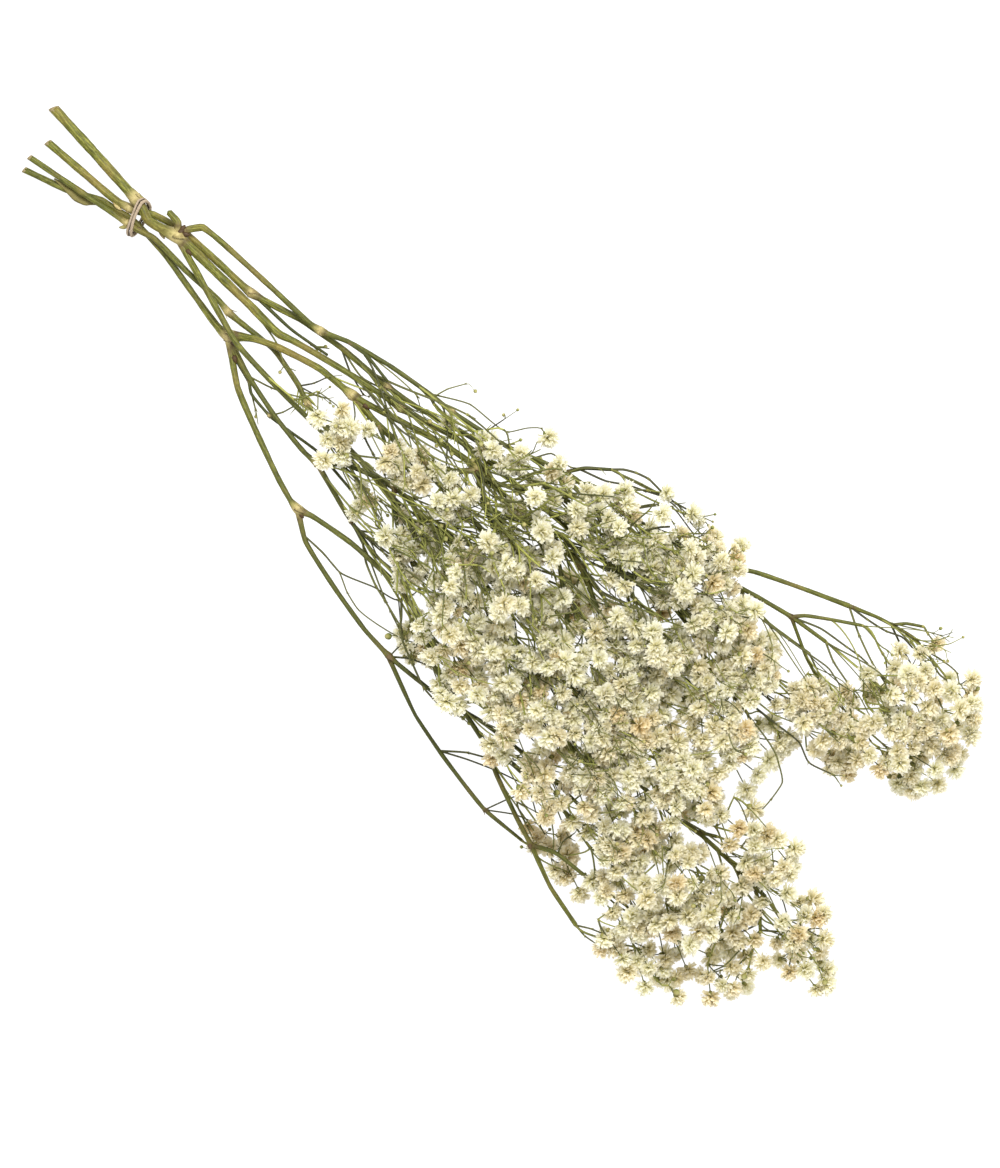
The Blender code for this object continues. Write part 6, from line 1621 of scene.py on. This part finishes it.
# bare twigs: radius, rise from start to tip, points x y; each starts on a stem
bareTwigs = [
    (0.55, 2, [(-129, 0), (-115, 1.4), (-100, 2.9)]),
    (0.45, 3, [(-130, -4.5), (-110, -7.2), (-103, -10.8)]), (0.35, 6, [(-91, -12), (-88, -8), (-86, -3)]),
    (0.3, 6, [(-91, -12), (-84, -11), (-80, -9)]), (0.35, 4, [(-92, -30), (-89, -26), (-87.5, -21.3)]),
    (0.3, 6, [(-48, 22.5), (-46, 29), (-42, 36)]), (0.3, 6, [(-20, 27), (-21, 32), (-20, 36.5)]),
    (0.45, 3, [(-90, 9.5), (-75, 7.7), (-65, 10.4)]), (0.4, 3, [(-90, 9.5), (-80, 5.8), (-70, 3)]),
    (0.45, 4, [(-63.3, -6.7), (-56.7, -9.6), (-50, -12), (-40, -15)]),
    (0.4, 2, [(-20, -12.5), (-10, -10.8), (0, -10.4), (12, -12)]),
    (0.4, 1, [(-30, -36.3), (-24, -34.2), (-12, -30)]),
    (0.5, 1, [(-30, -42.5), (-20, -47), (-10, -51.3), (-3.3, -53), (8, -56)]),
    (0.4, 2, [(33, 17), (40, 18.5), (46, 19.2)]), (0.4, 0, [(47.7, 11), (53.8, -0.8), (60, -7)]),
    (0.3, 1, [(15, -66), (14, -60), (8, -55), (1, -49)]),
    (0.4, 2, [(57, -82.5), (66, -75), (75.4, -69.6), (83, -63)]),
    (0.3, 3, [(88, -86.5), (92, -77), (97, -67)]),
    (0.35, 2, [(57, -82.5), (68, -77), (78.5, -72.5), (95, -67)]),
    (0.3, 1, [(88, -87), (99, -79.5), (108, -76)]), (0.4, 2, [(15, -67.5), (21, -63.5), (28.5, -60)]),
    (0.35, -2, [(149, -95.5), (155, -96), (161, -95.0)]), (0.35, 1, [(149, -94.5), (155, -92), (160, -90)]),
    (0.45, 1, [(146, -33), (160, -30), (170, -28.5)]), (0.3, 0, [(122, -79), (121, -74), (122, -68)]),
    (0.32, 6, [(0, 32), (4.2, 40), (14, 41.5), (23, 49.2)]), (0.4, 2, [(0, 33), (15, 31.5), (26, 30.4)]),
    (0.4, 2, [(20, 39), (31, 41.3), (38, 46)]),
    (0.45, 2, [(18.5, 43), (29, 47.7), (37, 53), (43, 55.8), (50, 59.2), (56, 61.2)]),
    (0.5, 1, [(27, 52), (30.8, 56.2), (35.4, 58.8), (40.8, 60.6), (49, 60.6), (56, 61.2), (67, 64.5)]),
    (0.35, 1, [(27, 52), (40, 57), (56, 61.2), (68, 61.2)]),
    (0.35, 0, [(35.4, 56), (56, 60.2), (73, 59.4)]), (0.35, -1, [(40, 55), (56, 59), (70, 57.3)]),
    (0.35, -2, [(40, 52), (52, 56), (61.5, 54.6)]),
    (0.3, 4, [(-50, 22.3), (-35, 31), (-15, 34), (-10.2, 41), (-6.2, 44.6), (-3.4, 44.2)]),
    (0.4, -1, [(176, 88.4), (186, 86.5), (194.5, 87.7)]),
    (0.35, 2, [(172, 89), (182, 91.4), (191, 92), (194.5, 89.5)]),
    (0.45, 0, [(137.7, 80), (148, 82), (157.3, 84), (163.6, 86.8), (176, 86)]),
    (0.45, 0, [(137.7, 80), (150, 75), (162, 70.5), (172, 68)]),
    (0.4, -1, [(157.3, 86.8), (166, 84), (175.5, 81)]),
    (0.45, 0, [(123.6, 60), (136.8, 65.7), (150, 67.7), (156, 68.6), (171, 69)]),
    (0.4, -2, [(141, 62.5), (150, 59.5), (160, 57.3), (167.3, 55.5)]),
    (0.35, -2, [(140, 54.3), (150, 51.4), (159, 50)]),
    (0.4, 0, [(103.6, 52.4), (113.6, 51.4), (130, 53), (140, 54.5), (151, 56), (157.7, 54.5)]),
    (0.45, -2, [(121, 35), (128, 34.5), (140, 38.6), (148, 41.8)]),
    (0.35, -3, [(121, 34), (132, 31.4), (145.5, 34.5), (154.5, 38)]),
    (0.3, -4, [(121, 33), (132, 29.5), (142, 29)]),
    (0.4, -8, [(140, 22), (152, 24), (163.6, 25), (172, 21.8), (182.7, 25)]),
    (0.35, -8, [(150, 12), (161, 14), (170, 8), (171.5, 0), (172, -9.5)]),
    (0.4, -2, [(206, -43), (216, -35), (222, -27)]), (0.35, -2, [(204, -41), (201, -50), (196, -60.5)]),
    (0.35, -2, [(206, -43), (206, -55), (206, -64), (203, -72)]),
    (0.4, 1, [(-126, -20), (-118, -24), (-108, -27), (-98, -33)]),
    (0.35, 5, [(-110, -25), (-100, -22), (-88, -16), (-84, -11)]),
    (0.3, 7, [(-72, -0.5), (-66, -6), (-62, -14)]),
    (0.5, 2, [(0, -45), (1.7, -48), (6.7, -53.3), (10, -57.5), (15.4, -60.8), (23, -63.8), (34, -68),
              (49, -68), (52, -66.5)]),
    (0.35, 0, [(-48, -56), (-36, -56.6), (-25, -57.6), (-10, -52), (0.3, -49.3), (3.4, -43.4)]),
    (0.3, 0, [(-48, -56), (-36, -56.8), (-25, -57.8), (-17, -61.5), (-9.4, -63.4), (14.4, -59),
              (22.8, -54.4)]),
    (0.35, 0, [(-36.6, -36.5), (-22, -44), (-8.6, -50.3), (1.1, -54.4), (18.9, -60.6)]),
]
# twigs that end at one of the tipFlowers carry a flower, the others a few short ends
bareLook = {"seed": 3, "thicker": 1.2, "dark": (0.65, 1.0), "knotShare": 0.7, "endLength": (3, 8),
            "budShare": 0.5, "bud": (0.5, 0.9), "tipFlowers": [(-3.4, 44.2)]}
leafTuft = {
    "from": (-91, -13), "to": (-81, -16.5), "near": 1.6, "seed": 29, "count": 26, "length": (5.0, 11.0),
    "half": (0.25, 0.5), "spread": 26.0, "taper": [0.7, 1.0, 1.0, 0.85, 0.55, 0.15],
}


def growLeafTuft(pile, places):
    # fine green leaves that hang together below a joint
    rng = random.Random(leafTuft["seed"])
    a, b = np.array(leafTuft["from"], float), np.array(leafTuft["to"], float)
    flow = (b - a) / np.linalg.norm(b - a)
    share = np.clip((places[:, :2] - a) @ flow, 0, np.linalg.norm(b - a))
    aside = np.linalg.norm(places[:, :2] - a - share[:, None] * flow, axis=1)
    feet = places[aside < leafTuft["near"]]
    curl = 0.9
    for _ in range(leafTuft["count"]):
        foot = feet[rng.randrange(len(feet))]
        flat = turnedFlow(flow, rng.gauss(0, leafTuft["spread"]))
        way = unit(np.append(flat, rng.uniform(0, 0.5)))
        last = unit(way + np.array([rng.uniform(-curl, curl), rng.uniform(-curl, curl),
                                    rng.uniform(-0.6, 0.3)]))
        end = foot + way * rng.uniform(*leafTuft["length"])
        widths = rng.uniform(*leafTuft["half"]) * np.array(leafTuft["taper"])
        blade(pile, bend(foot, way, end, last, len(widths)), widths, (0.2, 0.3, 1.0), 0.2, 1,
              (0, rng.uniform(0, 0.3), rng.uniform(0.2, 1), 1))


def bareEnds(meadow, pile, tip, way, radius, rng):
    # one to three short twigs at the end of a bare one
    side, other = sideWays(way)
    thick, thinner = 0.5, 0.35
    for _ in range(rng.choice([1, 2, 3])):
        out = unit(way + side * rng.uniform(-0.9, 0.9) + other * rng.uniform(-0.5, 0.9))
        end = tip + out * rng.uniform(*bareLook["endLength"])
        end[2] = max(end[2], 1.0)
        path = bend(tip, way, end, out, 5)
        meadow.twig(pile, path, radius * thick, radius * thinner, rng, 0.5)
        if rng.random() < bareLook["budShare"]:
            meadow.bud(pile, end, out, rng.uniform(*bareLook["bud"]), rng)


def buildBareTwigs(meadow):
    rng = random.Random(bareLook["seed"])
    pile = Pile()
    for thin, rise, points in bareTwigs:
        radius = thin * bareLook["thicker"]
        flat = np.hypot(meadow.places[:, 0] - points[0][0], meadow.places[:, 1] - points[0][1])
        route = [meadow.places[int(np.argmin(flat))]]
        for (x, y), share in zip(points[1:], np.linspace(0, 1, len(points))[1:]):
            route.append(standing(x, y, max(1.0, route[0][2] + rise * share)))
        thick = np.linspace(radius, radius * 0.6, len(route))
        path, _, _ = smoothPath(route, thick, 1.8, 0.6)
        meadow.twig(pile, path, radius, radius * 0.7, rng, rng.uniform(*bareLook["dark"]))
        for before, point in zip(route, route[1:]):
            if rng.random() < bareLook["knotShare"]:
                meadow.knot(pile, point, unit(point - before), radius * 0.8, rng, 0.1, 0.6)
        tip, way = route[-1], unit(route[-1] - route[-2])
        if points[-1] in bareLook["tipFlowers"]:
            size = flower["size"][1]
            meadow.bloom(pile, tip + way * size * 0.3, way, size, 0.1, rng)
        else:
            bareEnds(meadow, pile, tip, way, radius, rng)
    growLeafTuft(pile, meadow.places)
    makePiece("bareTwigs", pile, meadow.finishes, None)
    print("bare twigs triangles", pile.triangles())


# long thin twigs that run over the flowers from the tie outward
runners = {
    "seed": 19, "turn": 18.0, "radius": (0.32, 0.8, 0.4), "wander": 0.22, "inside": 4.0, "ceiling": 73.0,
    # pieces: count, starts x, starts y, lengths, height over the flowers, share of tips with a flower
    "groups": [(100, (-90, 66), (-46, 46), (24, 62), (-3, 5), 0.34),
               (64, (-30, 52), (-30, 20), (20, 46), (4, 11), 0.12)],
    "darkShare": 0.45, "dark": (0.5, 0.9), "light": (0, 0.3),
    # side twigs and their ends; flowers only beyond an x
    "length": (8, 26), "endLength": (4, 9), "flowersFrom": 5.0, "flowerAge": 0.1,
    "budShare": 0.15, "bud": (0.6, 1.1),
    # edge of the flowers: x, lowest y, highest y
    "edge": [(-125, -10, 6), (-90, -27, 12), (-60, -31, 20), (-35, -38, 29), (0, -56, 44), (40, -66, 54),
             (80, -76, 62), (130, -84, 56), (150, -88, 48)],
}


def insideEdge(place):
    rows = np.array(runners["edge"], float)
    low = np.interp(place[0], rows[:, 0], rows[:, 1]) + runners["inside"]
    high = np.interp(place[0], rows[:, 0], rows[:, 2]) - runners["inside"]
    return rows[0, 0] < place[0] < rows[-1, 0] and low < place[1] < high


def outwardEnd(start, turn, length, rng):
    # a place farther from the tie, some way aside
    flow = turnedFlow(unit(start[:2] - np.array(upper["tie"])), rng.gauss(0, turn))
    return start[:2] + flow * rng.uniform(*length)


def buildRunners(meadow):
    rng = random.Random(runners["seed"])
    for number, (count, fromX, fromY, lengths, over, share) in enumerate(runners["groups"], 1):
        pile = Pile()
        made = 0
        while made < count:
            k = rng.randrange(len(meadow.places))
            start, way = meadow.places[k], meadow.ways[k]
            if not (fromX[0] < start[0] < fromX[1] and fromY[0] < start[1] < fromY[1]):
                continue
            far = outwardEnd(start, runners["turn"], lengths, rng)
            if insideEdge(far):
                height = canopy(far[0], far[1], meadow) + rng.uniform(*over)
                end = np.append(far, min(max(height, start[2] - 6), runners["ceiling"]))
                drawRunner(meadow, pile, start, way, end, share, rng)
                made += 1
        makePiece("runningTwigs%d" % number, pile, meadow.finishes, None)
        print("running twigs", number, "triangles", pile.triangles())


def drawRunner(meadow, pile, start, way, end, share, rng):
    # one long twig with side twigs that leave it at some of its points
    radius = rng.triangular(*runners["radius"])
    straight = unit(end - start)
    wander = np.array([rng.gauss(0, runners["wander"]), rng.gauss(0, runners["wander"]), -0.15])
    path = bend(start, unit(way + straight), end, unit(straight + wander), 14, 0.3)
    dark = rng.uniform(*runners["dark" if rng.random() < runners["darkShare"] else "light"])
    meadow.twig(pile, path, radius, radius * 0.75, rng, dark)
    for node in sorted(rng.sample(range(4, 13), rng.choice([1, 2, 3]))):
        base = path[node]
        along = unit(path[node + 1] - path[node - 1])
        side = unit(np.cross(np.array([0, 0, 1.0]), along)) * rng.choice([-1, 1])
        aside = side * rng.uniform(0.2, 0.7)
        out = unit(along + aside + np.array([0, 0, rng.uniform(-0.2, 0.25)]))
        tip = base + out * rng.uniform(*runners["length"])
        tip[2] = min(tip[2], runners["ceiling"])
        if not insideEdge(tip):
            continue
        thick, tan, knotDark = 0.9, 0.15, 0.35
        meadow.knot(pile, base, along, radius * thick, rng, tan, knotDark)
        thick, thinner = 0.75, 0.55
        sidePath = bend(base, unit(along + out), tip, out, 6)
        meadow.twig(pile, sidePath, radius * thick, radius * thinner, rng, dark)
        runnerEnds(meadow, pile, tip, out, radius, share, rng)


def runnerEnds(meadow, pile, tip, out, radius, share, rng):
    # last short twigs of a side twig, some with a flower or a bud
    sway = 0.6
    thick, thinner = 0.5, 0.4
    for _ in range(rng.choice([1, 2, 2])):
        last = unit(out + np.array([rng.uniform(-sway, sway), rng.uniform(-sway, sway),
                                    rng.uniform(-0.3, 0.4)]))
        goal = tip + last * rng.uniform(*runners["endLength"])
        goal[2] = min(goal[2], runners["ceiling"])
        path = bend(tip, out, goal, last, 5)
        meadow.twig(pile, path, radius * thick, radius * thinner, rng, rng.uniform(0.1, 0.7))
        if goal[0] > runners["flowersFrom"] and rng.random() < share:
            size = rng.uniform(*flower["size"])
            age = max(0, rng.gauss(runners["flowerAge"], runners["flowerAge"]))
            meadow.bloom(pile, goal + last * size * 0.3, last, size, age, rng)
        elif rng.random() < runners["budShare"]:
            meadow.bud(pile, goal, last, rng.uniform(*runners["bud"]), rng)


# short hair-thin twigs that show between and over the flowers nearer the tips
fineTwigs = {
    "seed": 41, "count": 170, "fromX": 40, "turn": 24.0, "length": (10, 30), "near": 6.5, "over": (1.0, 6.0),
    "radius": (0.22, 0.36), "dark": (0.2, 0.9), "wander": 0.3,
    "last": (3, 8), "budShare": 0.35, "bud": (0.45, 0.85),
}


def buildFineTwigs(meadow):
    rng = random.Random(fineTwigs["seed"])
    pile = Pile()
    made = 0
    sway = 0.8
    while made < fineTwigs["count"]:
        k = rng.randrange(len(meadow.places))
        start, way = meadow.places[k], meadow.ways[k]
        far = outwardEnd(start, fineTwigs["turn"], fineTwigs["length"], rng)
        near = np.hypot(meadow.blooms[:, 0] - far[0], meadow.blooms[:, 1] - far[1]).min()
        if start[0] < fineTwigs["fromX"] or near > fineTwigs["near"]:
            continue
        height = canopy(far[0], far[1], meadow) + rng.uniform(*fineTwigs["over"])
        end = np.append(far, min(height, runners["ceiling"]))
        straight = unit(end - start)
        wander = np.array([rng.gauss(0, fineTwigs["wander"]), rng.gauss(0, fineTwigs["wander"]), -0.3])
        out = unit(straight + wander)
        radius = rng.uniform(*fineTwigs["radius"])
        dark = rng.uniform(*fineTwigs["dark"])
        path = bend(start, unit(way + straight), end, out, 9, 0.3)
        meadow.twig(pile, path, radius * 1.1, radius * 0.8, rng, dark)
        thick, thinner = 0.75, 0.5
        for _ in range(2):
            turn = np.array([rng.uniform(-sway, sway), rng.uniform(-sway, sway), rng.uniform(-0.4, 0.2)])
            last = unit(out + turn)
            goal = end + last * rng.uniform(*fineTwigs["last"])
            goal[2] = min(goal[2], runners["ceiling"])
            path = bend(end, out, goal, last, 4)
            meadow.twig(pile, path, radius * thick, radius * thinner, rng, dark)
            if rng.random() < fineTwigs["budShare"]:
                meadow.bud(pile, goal, last, rng.uniform(*fineTwigs["bud"]), rng)
        made += 1
    makePiece("fineTwigs", pile, meadow.finishes, None)
    print("fine twigs triangles", pile.triangles())


studio = {
    "floorHalf": 3.0, "floorDrop": -0.0002, "floorGlow": 0.97,
    "floorTone": [(0.3, (0.13, 0.13, 0.13)), (0.7, (0.15, 0.15, 0.15))], "floorScale": 60.0,
    "skyStrength": 1.34, "keyPower": 28.0, "keySize": 0.55, "keyPlace": (-0.35, 0.55, 1.3),
    "lens": 250.0, "sensor": 36.0, "distance": 3.422, "cameraAim": (0.0268, -0.0144), "cameraTurn": 44.0,
}
white = (1.0, 1.0, 1.0, 1.0)


def floorFinish():
    look = Finish("paleSurface", 0.9)
    speck = look.noise(look.place(), studio["floorScale"], 4.0)
    look.link(look.ramp(speck, studio["floorTone"]), look.shader.inputs["Base Color"])
    look.shader.inputs["Emission Color"].default_value = white
    look.shader.inputs["Emission Strength"].default_value = studio["floorGlow"]
    return look.material


def placed(name, data):
    made = bpy.data.objects.new(name, data)
    bpy.context.scene.collection.objects.link(made)
    return made


def buildStudio():
    floorMesh = bpy.data.meshes.new("surface")
    half = studio["floorHalf"]
    corners = [(-half, -half, 0), (half, -half, 0), (half, half, 0), (-half, half, 0)]
    floorMesh.from_pydata(corners, [], [(0, 1, 2, 3)])
    floorMesh.materials.append(floorFinish())
    floor = placed("surface", floorMesh)
    floor.location = (0, 0, studio["floorDrop"])

    world = bpy.data.worlds.new("studioSky")
    bpy.context.scene.world = world
    world.use_nodes = True
    sky = world.node_tree.nodes["Background"]
    sky.inputs["Color"].default_value = white
    sky.inputs["Strength"].default_value = studio["skyStrength"]

    lamp = bpy.data.lights.new("softKey", "AREA")
    lamp.shape = "SQUARE"
    lamp.size = studio["keySize"]
    lamp.energy = studio["keyPower"]
    key = placed("softKey", lamp)
    key.location = studio["keyPlace"]
    key.rotation_euler = (-Vector(studio["keyPlace"])).to_track_quat("-Z", "Y").to_euler()

    cameraData = bpy.data.cameras.new("topView")
    cameraData.lens = studio["lens"]
    cameraData.sensor_width = studio["sensor"]
    camera = placed("topView", cameraData)
    camera.location = (*studio["cameraAim"], studio["distance"])
    camera.rotation_euler = (0, 0, math.radians(studio["cameraTurn"]))
    bpy.context.scene.camera = camera
    bpy.context.scene.view_settings.view_transform = "Standard"
    print("studio: floor, sky, key light and camera")


buildStems()
buildTie()
meadow = Meadow()
print("meadow laid out, blooms", len(meadow.blooms))
buildSprays(meadow)
buildUpperFlowers(meadow)
buildBareTwigs(meadow)
buildRunners(meadow)
buildFineTwigs(meadow)
buildStudio()
bpy.context.view_layer.update()
